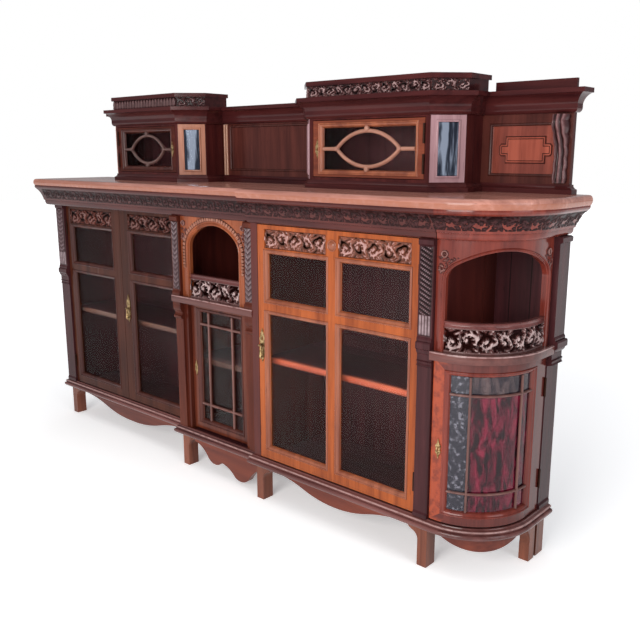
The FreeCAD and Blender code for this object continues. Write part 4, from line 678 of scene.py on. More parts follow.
def spandrel(edge, s0, z0, rosette, gap):
    """Field for a corner above an arch: scrolls with a ringed rosette, faded out at a gap
    above the arched edge."""
    order = np.argsort(edge[:, 0])

    def field(s, z):
        """Ring and five petals in the rosette's radius, scrolls outside it."""
        clear = (z + z0) - np.interp(s + s0, edge[order, 0], edge[order, 1])
        x, y = s + s0 - rosette[0], z + z0 - rosette[1]
        r = np.hypot(x, y) / ROSETTE
        ring = smooth(np.abs(r - 0.78), 0.26, 0.1)
        petals = smooth(r, 0.62, 0.45) * (0.55 + 0.45 * np.cos(5 * np.arctan2(y, x)))
        ground = volutes(s * 1.1 + 0.006, z, 0.034, 0.044) * smooth(r, 1.0, 1.25)
        flower = np.maximum(ring, petals * 0.9)
        return smooth(clear, gap, gap + 0.006) * np.maximum(flower, ground * 0.8)
    return field


def cut_out(place, s0, s1, z0, z1, field, height, base, open_below):
    """Carving with its deepest ground left out: quads whose corners all lie lower than
    open_below are dropped."""
    fine = 0.0012
    points, faces, shade = carve(place, s0, s1, z0, z1, field, height, fine, 0.0, base)
    rows = max(int((s1 - s0) / fine), 4) + 2
    inner = np.zeros((rows, len(points) // rows), bool)
    inner[1:-1, 1:-1] = True
    faces = np.array(faces)
    faces = faces[(shade[faces].max(1) > open_below) & inner.ravel()[faces].all(1)]
    used, renamed = np.unique(faces, return_inverse=True)
    return points[used], renamed.reshape(-1, 4).tolist(), shade[used]


def little_leaves(s, z, tall, pitch):
    """A running leaf: rounded tongues side by side with a vein, and a bead between them."""
    x = (s / pitch) % 1 - 0.5
    y = z / tall
    wide = 0.44 * np.sqrt(np.clip(1 - (2 * y - 0.9) ** 2 * 0.8, 0, 1))
    tongue = smooth(np.abs(x), wide, wide - 0.16) * (1 - 0.5 * smooth(np.abs(x), 0.09, 0.03))
    drop = smooth(np.hypot((np.abs(x) - 0.5) * 1.6, y - 0.22), 0.2, 0.1)
    return np.maximum(tongue, drop * 0.8) * smooth(y, 0, 0.08) * smooth(y, 1, 0.92)


def arch_band(place, edge, wide, pitch, height):
    """A leafy border that follows an arch, clear of its bead: s runs along the edge and z
    away from it."""
    clear = 0.0135
    run = edge[edge[:, 1] > edge[:, 1].max() - 0.16]
    step = np.r_[0, np.cumsum(np.hypot(*np.diff(run, axis=0).T))]
    away = outward(run)

    def follow(s, z, out):
        """The edge's point at s, moved away from it by z and the clear strip."""
        spot = [np.interp(s, step, run[:, k]) + np.interp(s, step, away[:, k]) * (z + clear)
                for k in (0, 1)]
        return place(*spot, out)
    return carve(follow, 0.0, step[-1], 0.0, wide,
                 lambda s, z: little_leaves(s, z, wide, pitch), height, 0.001)


band_wood = wood("arch_band", (0.10, 0.026, 0.014), (0.22, 0.062, 0.032), "up", 0.3, 0.3,
                 (0.42, 0.20, 0.14))
piece("arch_b_band", [arch_band(b_front, edge_b, wide=0.014, pitch=0.0105, height=0.0035)],
      band_wood)
corners = []
for place, edge, low, high, eye_z, gap, sides in (
        (round_end, edge_end, 0.812, 0.884, 0.862, 0.011,
         ((-0.010, 0.085, 0.008), (BEND - 0.030, BEND + 0.058, BEND + 0.040))),
        (b_front, edge_b, 0.815, 0.893, 0.874, 0.034,
         ((-0.159, -0.045, -0.146), (0.045, 0.159, 0.146)))):
    corners += [cut_out(place, s0, s1, low, high, spandrel(edge, s0, low, (eye_s, eye_z), gap),
                        height=0.005, base=-0.0005, open_below=0.05) for s0, s1, eye_s in sides]
piece("arch_corner_carving", corners, carved_dark)


# Niche galleries: low fretted fences of mahogany, carved with leaves, tenoned into a
# moulded rail above and the front of each niche floor below. The end's is bent to the curve.
def fence(s, z, pitch, tall):
    """Field of a leafy fence: volutes between a solid foot and a solid top strip."""
    rails = np.maximum(smooth(z, 0.006, 0.003), smooth(tall - z, 0.005, 0.002))
    return np.maximum(rails * 0.6, volutes(s, z, pitch, tall))


def thicken(item, thick):
    """Give a fretted sheet its thickness, inwards."""
    solid = item.modifiers.new("thickness", "SOLIDIFY")
    solid.thickness = thick
    solid.offset = -1


gallery_wood = wood("gallery", (0.040, 0.012, 0.012), (0.125, 0.042, 0.038), "across", 0.3, 0.3,
                    (0.50, 0.37, 0.36))
rail_wood = wood("gallery_rail", (0.075, 0.021, 0.020), (0.18, 0.058, 0.052), "across", 0.22, 0.5)
GALLERY, RAIL = 0.079, 0.015
fence_tall = GALLERY - RAIL
rail_section = line_up([(RAIL, -0.013)], bow((0.0, 0.001), (RAIL, 0.001), -0.0045, 12)[::-1],
                       [(0.0, -0.013)])
for name, place, s0, s1, foot, leaves, back in (
        ("b", b_front, -0.124, 0.124, FLOOR_B, 5, 0.002),
        ("end", round_end, 0.010, BEND + ARCH_STOP, FLOOR_END, 7, 0.003)):
    pitch = (s1 - s0) / leaves
    fretted = cut_out(place, s0, s1, foot, foot + fence_tall,
                      lambda s, z: fence(s, z, pitch, fence_tall),
                      height=0.0075, base=-back - 0.0065, open_below=0.1)
    thicken(piece("gallery_fence_" + name, [fretted], gallery_wood, ["gallery_" + name]), 0.006)
    run = np.linspace(s0, s1, 60)
    rail = bead(place, np.stack([run, np.full(60, foot + GALLERY)], 1), rail_section - (0, back))
    piece("gallery_rail_" + name, [rail], rail_wood)


# Pilasters: square-edged mahogany shafts glued to the fronts, carved above the waist and
# plain below it, with turned-looking rings worked across them.
shaft_wood = wood("pilaster", (0.026, 0.0075, 0.009), (0.065, 0.018, 0.020), gloss=0.1)
stile_wood = wood("stile_b", (0.052, 0.0095, 0.006), (0.125, 0.028, 0.014), gloss=0.08)
finish_nodes(shaft_wood, "pilaster_c", "pilaster_left", "pilaster_end")
finish_nodes(stile_wood, "stiles_b")


def twist(s, z, wide, pitch):
    """Overlapping leaves climbing a shaft two by two: a saw wave of z / pitch - |x|."""
    x = (s - wide / 2) / (wide / 2)
    step = (z / pitch - 0.75 * np.abs(x)) % 1
    rib = 0.8 + 0.2 * np.cos(18 * np.abs(x))
    leaf = 0.25 + 0.75 * smooth(step, 0, 0.16) * (1 - 0.55 * step)
    return smooth(np.abs(x), 1.0, 0.86) * leaf * rib


def braid(s, z, wide, pitch):
    """A laurel rope: slanting strands, peaks of cos(z / pitch + 0.7x), each split along
    its length into narrow leaves and falling away to the edges of the shaft."""
    x = (s - wide / 2) / (wide / 2)
    strand = smooth(0.5 + 0.5 * np.cos(2 * math.pi * (z / pitch + 0.7 * x)), 0.15, 0.8)
    split = 0.7 + 0.3 * np.cos(2 * math.pi * (1.6 * z / pitch - 2.4 * x))
    return smooth(np.abs(x), 1.0, 0.86) * np.maximum(1 - x * x, 0) ** 0.25 * strand * split


def reeds(s, z, wide):
    """Four upright reeds, half-round side by side."""
    return np.sqrt(np.abs(np.sin(4 * math.pi * s / wide))) * smooth(z, 0, 0.004)


carved_shaft = wood("carved_shaft", (0.022, 0.007, 0.0085), (0.060, 0.019, 0.021), "up", 0.32, 0.2,
                    wear_and_painted_light=(0.30, 0.22, 0.235))
SHAFT_TOP, SHAFT_WAIST, FOOT_A, FOOT_B = 0.877, 0.650, 0.705, 0.648
shafts = []
for x0, x1, y, foot, carving, pitch in (
        (0.789, 0.833, Y_C - 0.01125, FOOT_A, braid, 0.0125),
        (X_A, X_A + 0.058, Y_A - 0.01125, FOOT_A, twist, 0.0165),
        (X_B, X_B + 0.040, Y_B - 0.0105, FOOT_B, twist, 0.0165),
        (X_C - 0.040, X_C, Y_B - 0.0105, FOOT_B, twist, 0.0165)):
    wide = x1 - x0 - 0.008
    place = straight(x0 + 0.004, y, x1 - 0.004, y)
    shafts.append(carve(place, 0, wide, foot, SHAFT_TOP, lambda s, z: carving(s, z, wide, pitch),
                        0.0045))
    if foot == FOOT_A:
        shafts.append(carve(place, 0, wide, SHAFT_WAIST, foot - 0.002,
                            lambda s, z: reeds(s, z, wide), 0.0022))
piece("pilaster_carving", shafts, carved_shaft)


# Cornices and top: long mahogany mouldings of ovolo, cavetto and fillet, mitred and glued
# under a board with a rounded nose. A small running leaf is carved on the cavetto.
cornice_wood = wood("cornice", (0.040, 0.0095, 0.010), (0.105, 0.024, 0.019), "across", 0.2, 0.5,
                    gloss=0.1)
leaf_wood = wood("leaf", (0.013, 0.0035, 0.004), (0.036, 0.009, 0.009), "across", 0.3, 0.3,
                 (0.056, 0.019, 0.020), painted_hollow_shade=0.5, gloss=0.04)
top_wood = wood("top", (0.27, 0.110, 0.084), (0.60, 0.285, 0.222), "across", 0.2, 0.5,
                (0.30, 0.105, 0.062), painted_hollow_shade=0)
CORNICE, UNDER_TOP, TOP = 0.077, 0.974, 1.0
COVE_LOW, COVE_HIGH, COVE_BOW = np.array((0.36, 0.30)), np.array((0.84, 0.84)), 0.07
NOSE_AB, NOSE_C = 0.040, 0.062
SLANT, JOINT = 0.4, 0.0022


def cornice_section(reach):
    """Cornice outline from its lower inner edge: ovolo, fillets, cove and a small ovolo
    under the board. Points are shares of the reach and of the height."""
    shape = line_up([(0, 0), (0.10, 0)], bow((0.10, 0.005), (0.27, 0.19), -0.05, 12),
                    [(0.27, 0.23), (0.345, 0.25)], bow(COVE_LOW, COVE_HIGH, COVE_BOW, 16),
                    [(0.86, 0.86)], bow((0.87, 0.865), (0.92, 0.985), -0.025, 8),
                    [(0.92, 1), (0, 1)])
    return shape * (reach, CORNICE) + (0, UNDER_TOP - CORNICE)


ab_path = [(X_A, Y_BACK), (X_A, Y_B), (X_C, Y_B)]
end_path = line_up([(X_END + JOINT, Y_C)], [(X_ROUND, Y_C)], quarter(RADIUS), [(X_RIGHT, Y_BACK)])
run_ab = run_along(ab_path, cornice_section(NOSE_AB))
run_c = run_along([(X_C, Y_C), (X_END, Y_C)], cornice_section(NOSE_C))
run_end = run_along(end_path, cornice_section(NOSE_C))
for run, row, share in ((run_c, -1, 1.0), (run_end, 0, 1.0), (run_end, 1, 0.2)):
    run[row, :, 0] += share * SLANT * (Y_C - run[row, :, 1])
for name, node, run, paint in (("left", "cornice_a_b", run_ab, cornice_wood),
                               ("c", "cornice_c", run_c, cornice_wood),
                               ("end", "cornice_end", run_end, end_wood)):
    piece("cornice_" + name + "_run", [skin(run, closed=True, ends=True)], paint, [node])


def cove_band(path, reach, start=0.0):
    """The running leaf laid in the cornice's cove: s runs along the plan path and z up the
    cove, whose own bow of 4t(1 - t) is followed."""
    pitch, rim = 0.030, 0.002
    path = np.array(path, float)
    step = np.r_[0, np.cumsum(np.hypot(*np.diff(path, axis=0).T))]
    low, high = COVE_LOW * (reach, CORNICE), COVE_HIGH * (reach, CORNICE)
    tall = np.hypot(*(high - low))
    lean = (high - low) / tall
    wide = outward(path)

    def place(s, z, out):
        """The path's point at s, z up the slope of the cove, out from its bowed face."""
        t = np.clip(z / tall, 0, 1)
        sink = 4 * t * (1 - t) * COVE_BOW
        forward = low[0] + lean[0] * z - (sink * reach - out) * lean[1]
        level = UNDER_TOP - CORNICE + low[1] + lean[1] * z + (sink * CORNICE - out) * lean[0]
        spot = [np.interp(s, step, path[:, k]) + np.interp(s, step, wide[:, k]) * forward
                for k in (0, 1)]
        return np.stack([*spot, level], -1)
    return carve(place, start, step[-1], rim, tall - rim,
                 lambda s, z: volutes(s, z, pitch, tall - 2 * rim), 0.0019, 0.0014)


end_band_path = line_up([(X_END + 0.004, Y_C)], end_path[1:])
piece("cornice_leaf_carving", [
    cove_band([(X_A, Y_B), (X_C, Y_B)], NOSE_AB, 0.004),
    cove_band([(X_C, Y_C), (X_END, Y_C)], NOSE_C),
    cove_band(end_band_path, NOSE_C)], leaf_wood)

top_path = line_up([(X_A - NOSE_AB, Y_BACK), (X_A - NOSE_AB, Y_B - NOSE_AB), (X_C, Y_B - NOSE_AB),
                    (X_C, Y_C - NOSE_C)], quarter(RADIUS + NOSE_C), [(X_RIGHT + NOSE_C, Y_BACK)])
top_nose = line_up([(-0.016, UNDER_TOP), (-0.005, UNDER_TOP)],
                   bow((-0.003, UNDER_TOP + 0.002), (-0.004, TOP - 0.0025), -0.0033, 14),
                   [(-0.008, TOP - 0.0005), (-0.016, TOP)])
top_edge = run_along(top_path, top_nose)
rows, columns = top_edge.shape[:2]
# Painted shade: the lower half of the nose takes the top's darker marked colour, and towards the
# left end the whole edge does, darkening to the left.
nose_underside_shade = 0.95 * smooth(top_nose[:, 1], 0.992, 0.986) * (top_nose[:, 0] > -0.012)
nose_painted_shade = np.tile(nose_underside_shade, (rows, 1))
nose_painted_shade[:2] = np.maximum(nose_painted_shade[:2], 0.85)
points, faces, shade = skin(top_edge, shade=nose_painted_shade)

# The nose is closed by the top, the underside, the left end, the right end and the back.
corner = np.arange(rows) * columns
faces += [(corner + columns - 1).tolist(), corner[::-1].tolist(), list(range(columns)),
          list(range(rows * columns - 1, (rows - 1) * columns - 1, -1)),
          [0, (rows - 1) * columns, rows * columns - 1, columns - 1]]
piece("top_with_nose", [(points, faces, shade)], top_wood, ["top_board"])


# Doors of section A: framed mahogany leaves, each with a tall pane below a low one and a
# carved frieze sunk in the head. Stiles and rails are mortised, and a bead is mitred round
# each pane.
def box_loop(rect, across=1, up=1):
    """Points round a rectangle (left, low, right, high), counterclockwise, with its level
    sides and its upright sides divided."""
    left, low, right, high = rect
    corners = np.array([(left, low), (right, low), (right, high), (left, high)])
    return np.concatenate([
        corners[k] + (corners[(k + 1) % 4] - corners[k]) * np.linspace(0, 1, part + 1)[:-1, None]
        for k, part in enumerate((across, up, across, up))])


SASH = line_up([(-0.0006, -0.0108), (0.0002, -0.0092)],
               bow((0.0006, -0.0088), (0.0082, -0.0002), 0.0019, 7), [(0.0088, -0.0004)],
               bow((0.0092, 0.0002), (0.0142, 0.0002), 0.0026, 8), [(0.0144, -0.002)])


def sashes(place, panes):
    """The mitred bead and ovolo round each pane, standing on the sloped edge of the frame."""
    return [bead(place, box_loop(pane), SASH, loop=True) for pane in panes]


DOOR_LOW, HEAD, SPLIT, SPLIT_TOP = 0.195, 0.807, 0.6205, 0.6705
FRIEZE_LOW, FRIEZE_HIGH, FRIEZE_SUNK = 0.824, 0.882, 0.004
GLASS_DEEP, GLASS_THICK = 0.011, 0.003
frame_a_wood = wood("door_a", (0.034, 0.0085, 0.0048), (0.088, 0.0225, 0.011), "up", 0.24,
                    gloss=0.06)
sash_dark_wood = wood("sash_dark", (0.034, 0.009, 0.0075), (0.092, 0.026, 0.019), "up", 0.2, 0.5,
                      gloss=0.12)
frieze_wood = wood("frieze", (0.050, 0.012, 0.009), (0.12, 0.030, 0.020), "across", 0.3, 0.3,
                   (0.20, 0.105, 0.095), gloss=0.05)
finish_nodes(frame_a_wood, "door_a_left_frame", "door_a_right_frame")


def scrolls(place, left, right):
    """A frieze of five leaf scrolls in its sunk panel."""
    low, high = FRIEZE_LOW + 0.001, FRIEZE_HIGH - 0.001
    pitch = (right - left) / 5
    return carve(place, left, right, low, high, lambda s, z: volutes(s, z, pitch, high - low),
                 0.0052, 0.001, 0.0015, -FRIEZE_SUNK)


LEAF_A = 0.373
for name, x, left, right in (("door_a_left", -0.987, 0.038, 0.311),
                             ("door_a_right", -0.612, 0.062, 0.335)):
    place = straight(x, Y_A, x + LEAF_A, Y_A)
    panes = [(left, DOOR_LOW, right, SPLIT), (left, SPLIT_TOP, right, HEAD)]
    piece(name + "_sashes", sashes(place, panes), sash_dark_wood, body=name)
    piece(name + "_frieze", [scrolls(place, left - 0.008, right + 0.008)], frieze_wood, body=name)


# Glass: thin clear panes puttied into the rebates of the doors, and a stained pane bent to
# the curve of the end. Some of the old panes are faintly green.
def clear_glass(name, tint, opaque, bend, through=1.0):
    """Thin window glass: clear, smooth and slightly wavy. Bend is its index, which sets how
    strongly it mirrors the room; opaque is its Alpha, and through what light it passes."""
    paint, tree, body = new_paint(name, {
        "Transmission Weight": through, "Metallic": 0, "Base Color": (*tint, 1), "IOR": bend,
        "Alpha": opaque})
    waves = span(tree, noise(tree, object_place(tree), 7.0, 3, 0.5), 0.3, 0.7, 0.01, 0.05)
    tree.links.new(waves, body.inputs["Roughness"])
    return paint


finish_nodes(clear_glass("dark_pane_glass", (0.90, 0.95, 0.93), 0.5, 1.08),
             "door_a_left_glass", "door_a_right_glass", "upper_door_left_glass")
finish_nodes(clear_glass("pane_glass", (0.93, 0.96, 0.94), 0.5, 1.19),
             "door_b_glass", "door_c_glass", "upper_door_right_glass")


# Door of section B: a low mortised mahogany frame under the niche, with two upright and
# two level glazing bars tenoned into it in front of one pane.
door_b_wood = wood("door_b", (0.060, 0.012, 0.0075), (0.145, 0.034, 0.016), "up", 0.22)
bar_wood = wood("bar", (0.085, 0.034, 0.029), (0.19, 0.088, 0.075), "up", 0.22, 0.5)
finish_nodes(door_b_wood, "door_b_frame")
BAR = line_up([(-0.0043, -0.0085)], bow((-0.0041, -0.0052), (0.0041, -0.0052), 0.0024, 8),
              [(0.0043, -0.0085)])


def bars(place, across, up, pane, steps=1, slim=1.0):
    """Half-round bars over the glass: upright ones at each s, level ones at each z."""
    left, low, right, high = pane
    section = BAR * (slim, 1)
    found = [bead(place, [(s, low), (s, high)], section) for s in across]
    run = np.linspace(left, right, steps + 1)
    return found + [bead(place, np.stack([run, np.full(steps + 1, z)], 1), section) for z in up]


Y_DOOR_B = -0.092
place = straight(-0.177, Y_DOOR_B, 0.105, Y_DOOR_B)
pane = (0.040, 0.189, 0.242, 0.573)
bars_b = bars(place, across=(0.082, 0.200), up=(0.2462, 0.531), pane=pane)
piece("door_b_sash", sashes(place, [pane]), sash_dark_wood, body="door_b")
piece("door_b_bars", bars_b, bar_wood, body="door_b")


# Door of section C: one wide mortised frame of pale reddish mahogany with four panes. Two
# carved friezes are let into its head, with a turned boss glued between them.
door_c_wood = wood("door_c", (0.19, 0.040, 0.012), (0.45, 0.108, 0.026), "up", 0.22, gloss=0.12)
sash_c_wood = wood("sash_c", (0.17, 0.045, 0.024), (0.36, 0.115, 0.055), "up", 0.18, 0.7)
finish_nodes(door_c_wood, "door_c_frame")


def knob(place, s, z, outline, tall=1.0):
    """A turned button on a front: outline points (radius, out) from its rim to its middle,
    drawn up or squashed by tall."""
    sides = 32
    turn = np.linspace(0, 2 * math.pi, sides + 1)[:-1, None]
    radius, out = outline[None, :, 0], outline[None, :, 1]
    points, faces, shade = skin(place(s + radius * np.cos(turn), z + radius * np.sin(turn) * tall,
                                      out), shut=True)
    faces.append((np.arange(sides) * len(outline) + len(outline) - 1).tolist())
    return points, faces, shade


BOSS = line_up([(0.0165, -0.001), (0.0165, 0.0015)],
               bow((0.0165, 0.0015), (0.0135, 0.0018), -0.001, 5),
               [(0.0128, 0.0008)], bow((0.0124, 0.001), (0.0012, 0.0058), -0.0015, 9))
frieze_c_wood = wood("frieze_c", (0.14, 0.040, 0.022), (0.30, 0.095, 0.055), "across", 0.3, 0.3,
                     (0.46, 0.27, 0.25), painted_hollow_shade=0.6)
place = straight(0.195, Y_C, 0.787, Y_C)
panes = [(left, low, right, high) for left, right in ((0.038, 0.269), (0.323, 0.554))
         for low, high in ((DOOR_LOW, SPLIT), (SPLIT_TOP, HEAD))]
for name, parts, paint in (
        ("door_c_sashes", sashes(place, panes), sash_c_wood),
        ("door_c_friezes", [scrolls(place, 0.030, 0.272), scrolls(place, 0.320, 0.562)],
         frieze_c_wood),
        ("door_c_boss", [knob(place, 0.296, 0.853, BOSS)], sash_c_wood)):
    piece(name, parts, paint, body="door_c")


# Door of the end: a mahogany leaf built up in layers bent to a quarter circle, with a short
# straight tail at its hinge. One bent pane is puttied in behind curved glazing bars.
def bent_frame(place, hole, rim, thick, slope, across=64, up=6, lit=None):
    """A frame between two rectangles of a front, its inner edge sloped back. Left of lit
    its wood is marked for painted light, which the wood's marked colour shows."""
    wide = (hole[0] - slope, hole[1] - slope, hole[2] + slope, hole[3] + slope)
    loops = [box_loop(rect, across, up) for rect in (rim, rim, wide, hole, hole)]
    flat = np.stack(loops, 1)
    painted_light = None if lit is None else 0.85 * smooth(flat[..., 0], lit, lit - 0.006)
    return skin(place(flat[..., 0], flat[..., 1], np.array([[-thick, 0, 0, -slope, -thick]])),
                closed=True, shut=True, shade=painted_light)


END_LEFT = math.radians(10.5) * RADIUS
end_hole = (END_LEFT, 0.189, BEND, 0.555)
end_rim = (-0.014, 0.153, BEND + 0.064, 0.591)
door_end_wood = wood("door_end", (0.060, 0.0095, 0.0075), (0.145, 0.026, 0.019), "up", 0.2, 0.5,
                     (0.40, 0.066, 0.022), painted_hollow_shade=0)
# Painted light: the left stile of the end door takes the door's bright orange marked colour.
end_leaf = bent_frame(round_end, end_hole, end_rim, thick=0.022, slope=0.009, lit=END_LEFT - 0.004)
end_sash = bead(round_end, box_loop(end_hole, 64, 1), SASH, loop=True)
end_bars = bars(round_end, across=np.radians((28.1, 76.6)) * RADIUS, up=(0.2405, 0.506),
                pane=end_hole, steps=60, slim=0.76)
piece("door_end_leaf", [end_leaf], door_end_wood, ["door_end_frame"], "door_end")
piece("door_end_sash", [end_sash], end_wood, body="door_end")
piece("door_end_bars", end_bars, bar_wood, body="door_end")


def stain(tree):
    """Colours of the bent pane: seeded grey-blue left of the first bar, a dull strip above
    the top bar, streaked red and rose between. The pane's depth attribute holds how far
    round the curve each point lies."""
    place = object_place(tree)
    streaks = drawn_out(tree, place, (62, 62, 17))
    mottle = span(tree, noise(tree, streaks, 1, 5, 0.62, 0.8), 0.40, 0.70)
    seeds = span(tree, noise(tree, place, 90, 2, 0.5), 0.5, 0.72)
    red = blend_colours(tree, mottle, (0.020, 0.0025, 0.007), (0.34, 0.022, 0.062))
    blue = blend_colours(tree, seeds, (0.045, 0.042, 0.060), (0.27, 0.26, 0.31))
    strip = blend_colours(tree, mottle, (0.030, 0.018, 0.030), (0.20, 0.13, 0.13))
    left = span(tree, depth_mark(tree), 0.299, 0.301, 1.0, 0.0)
    top = span(tree, axes(tree, place)["Z"], 0.5055, 0.5065)
    return blend_colours(tree, left, blend_colours(tree, top, red, strip), blue)


stained = clear_glass("stained_glass", (1, 1, 1), 0.95, 1.4, 0.5)
tree = stained.node_tree
tree.links.new(stain(tree), tree.nodes["Principled BSDF"].inputs["Base Color"])
turns = np.radians(np.linspace(8.8, 91.7, 70))
PANE_LOW, PANE_HIGH, LAST_MARK = 0.1835, 0.5605, 0.9796
across_share = np.broadcast_to((turns / turns[-1])[:, None] * LAST_MARK, (70, 4))
sheet = np.array([(-GLASS_DEEP, PANE_LOW), (-GLASS_DEEP, PANE_HIGH),
                  (-GLASS_DEEP - GLASS_THICK, PANE_HIGH), (-GLASS_DEEP - GLASS_THICK, PANE_LOW)])
bent_pane = skin(round_end(RADIUS * turns[:, None], sheet[None, :, 1], sheet[None, :, 0]),
                 closed=True, ends=True, shade=across_share)
piece("door_end_pane", [bent_pane], stained, ["door_end_glass"], "door_end")


# Brasses: cast and chased plates, drops and hinges of yellow brass, pinned and screwed on,
# dulled and darkened in the hollows by age. They are the shapes of the frame itself.
HINGE_PLACES = (-0.9857, -0.7177, -0.2403, 0.1037, 0.6877, 0.7857, 1.0283)
HINGE_REACH = 0.0075


def old_brass(name, dark, painted_light):
    """Aged brass: a tarnish noise mixes the dark and bright metal and varies the shine.
    The hinge barrels, told by their places across the front, are almost black."""
    paint, tree, body = new_paint(name, {"Metallic": 1})
    place = object_place(tree)
    tarnish = span(tree, noise(tree, place, 160, 4, 0.6), 0.38, 0.62)
    level = axes(tree, place)["X"]
    for x in HINGE_PLACES:
        near = sums(tree, "COMPARE", level, x)
        near.node.inputs[2].default_value = HINGE_REACH
        tarnish = sums(tree, "MAXIMUM", tarnish, sums(tree, "MULTIPLY", near, 2.2))
    dull = blend_colours(tree, tarnish, painted_light, dark)
    black = span(tree, tarnish, 1.1, 2.0)
    colour = blend_colours(tree, black, dull, (0.030, 0.014, 0.010))
    tree.links.new(colour, body.inputs["Base Color"])
    tree.links.new(span(tree, tarnish, 0, 1, 0.34, 0.55), body.inputs["Roughness"])
    return paint


finish_nodes(old_brass("aged_brass", (0.16, 0.095, 0.04), (0.50, 0.35, 0.17)),
             *[name for name in nodes if name.endswith("_brasses")], "drop_pull_a", "drop_pull_c")
finish_nodes(old_brass("hinge_brass", (0.13, 0.075, 0.03), (0.36, 0.23, 0.10)),
             "fixed_hinge_halves")


# Upper stage: a mahogany back with plinth moulding, small glazed cabinets with canted
# corners and a moulded cornice, glued and screwed together. Mirrors are let into the cants.
stage_wood = wood("stage", (0.030, 0.0062, 0.007), (0.078, 0.016, 0.015), "across", 0.2, 0.5,
                  gloss=0.07)
cabinet_wood = wood("cabinet", (0.035, 0.0065, 0.007), (0.085, 0.016, 0.014), "up", 0.24,
                    gloss=0.08)
finish_nodes(stage_wood, "upper_cornice", "upper_base_moulding", "crests", "upper_top_boards")
finish_nodes(cabinet_wood, "upper_cabinet_left", "upper_cabinet_right")

mirror, tree, mirror_body = new_paint("mirror_glass", {"Metallic": 1, "Roughness": 0.06})
streaks = drawn_out(tree, object_place(tree), (58, 58, 7))
foxing = span(tree, noise(tree, streaks, 1.0, 3, 0.55), 0.40, 0.60)
tree.links.new(blend_colours(tree, foxing, (0.055, 0.065, 0.095), (0.66, 0.74, 0.90)),
               mirror_body.inputs["Base Color"])
finish_nodes(mirror, "cant_mirrors")

STAGE_LOW, STAGE_HIGH, CRESTS = 1.024, 1.202, 1.260
FRONT_Y, STEP_Y, BAY_Y = 0.019, 0.089, 0.171
CANT = STEP_Y - FRONT_Y
MIRROR_LOW, MIRROR_HIGH, MIRROR_HALF = 1.042, 1.184, 0.028
CABINETS = (("left", -0.734, -0.357), ("right", 0.276, 0.704))
cant_paints = {side: wood("cant_" + side, dark, light, "up", 0.22, 0.5) for side, dark, light in (
    ("left", (0.24, 0.085, 0.048), (0.44, 0.18, 0.105)),
    ("right", (0.24, 0.125, 0.135), (0.42, 0.25, 0.27)))}
MIRROR_BEAD = line_up([(-0.001, 0.0005), (-0.001, 0.0042)],
                      bow((-0.001, 0.0042), (0.0045, 0.0036), 0.0014, 7), [(0.005, 0.0005)])


def cant_front(x0, y0, x1, y1, paint, name):
    """The thin frame and bead that hold a mirror on one canted corner."""
    place, gap = straight(x0, y0, x1, y1), 0.002
    wide = math.hypot(x1 - x0, y1 - y0)
    hole = (wide / 2 - MIRROR_HALF, MIRROR_LOW, wide / 2 + MIRROR_HALF, MIRROR_HIGH)
    rim = (gap, STAGE_LOW + gap, wide - gap, STAGE_HIGH - 0.001)
    board = bent_frame(lambda s, z, out: place(s, z, out + gap), hole, rim,
                       thick=gap, slope=0.001, across=1, up=1)
    piece(name, [board, bead(place, box_loop(hole), MIRROR_BEAD, loop=True)], paint)


for name, left, right in CABINETS:
    for end, ends in (("a", (left - CANT, STEP_Y, left, FRONT_Y)),
                      ("b", (right, FRONT_Y, right + CANT, STEP_Y))):
        cant_front(*ends, cant_paints[name], name + "_cabinet_cant_" + end)


# Upper doors: low mortised mahogany frames with a lens of bent glazing bars tenoned in
# before the pane, and a small turned finial at each quarter of the lens.
LENS = line_up([(-0.0056, -0.0095)], bow((-0.0054, -0.0062), (0.0054, -0.0062), 0.0042, 8),
               [(0.0056, -0.0095)])
FINIAL = line_up([(0.0072, -0.008), (0.0072, -0.003)],
                 bow((0.0072, -0.003), (0.001, 0.001), -0.002, 8))
upper_right_wood = wood("upper_door_right", (0.105, 0.023, 0.013), (0.235, 0.055, 0.025),
                        "across", 0.22)
upper_left_wood = wood("upper_door_left", (0.040, 0.0085, 0.007), (0.10, 0.022, 0.013),
                       "across", 0.22, gloss=0.06)
lens_left_wood = wood("lens_left", (0.060, 0.030, 0.027), (0.15, 0.085, 0.075), "across", 0.2, 0.5)
lens_wood = wood("lens", (0.27, 0.115, 0.082), (0.44, 0.22, 0.155), "across", 0.2, 0.5)
finish_nodes(upper_right_wood, "upper_door_right_frame")
finish_nodes(upper_left_wood, "upper_door_left_frame")
LENS_Z, LENS_RISE, STILE = 1.1145, 0.050, 0.034
for name, x, wide, half, lens_paint, sash_paint in (
        ("upper_door_left", -0.719, 0.347, 0.0985, lens_left_wood, sash_dark_wood),
        ("upper_door_right", 0.291, 0.398, 0.113, lens_wood, sash_c_wood)):
    place, middle = straight(x, FRONT_Y, x + wide, FRONT_Y), wide / 2
    radius = (half * half + LENS_RISE * LENS_RISE) / (2 * LENS_RISE)
    turn = np.linspace(-1, 1, 41) * math.asin(half / radius)
    arc = np.stack([middle + radius * np.sin(turn), radius * np.cos(turn) - radius + LENS_RISE], 1)
    strips = [bead(place, arc * (1, sign) + (0, LENS_Z), LENS) for sign in (1, -1)]
    strips += [bead(place, [(a, LENS_Z), (b, LENS_Z)], LENS) for a, b in (
        (STILE, middle - half + 0.003), (middle + half - 0.003, wide - STILE))]
    strips += [knob(place, middle, LENS_Z + sign * (LENS_RISE + 0.0065), FINIAL, 1.25)
               for sign in (1, -1)]
    strips += [knob(place, middle + sign * half, LENS_Z, FINIAL) for sign in (1, -1)]
    piece(name + "_lens", strips, lens_paint, body=name)
    pane = (STILE, 1.054, wide - STILE, 1.175)
    piece(name + "_sash", sashes(place, [pane]), sash_paint, body=name)


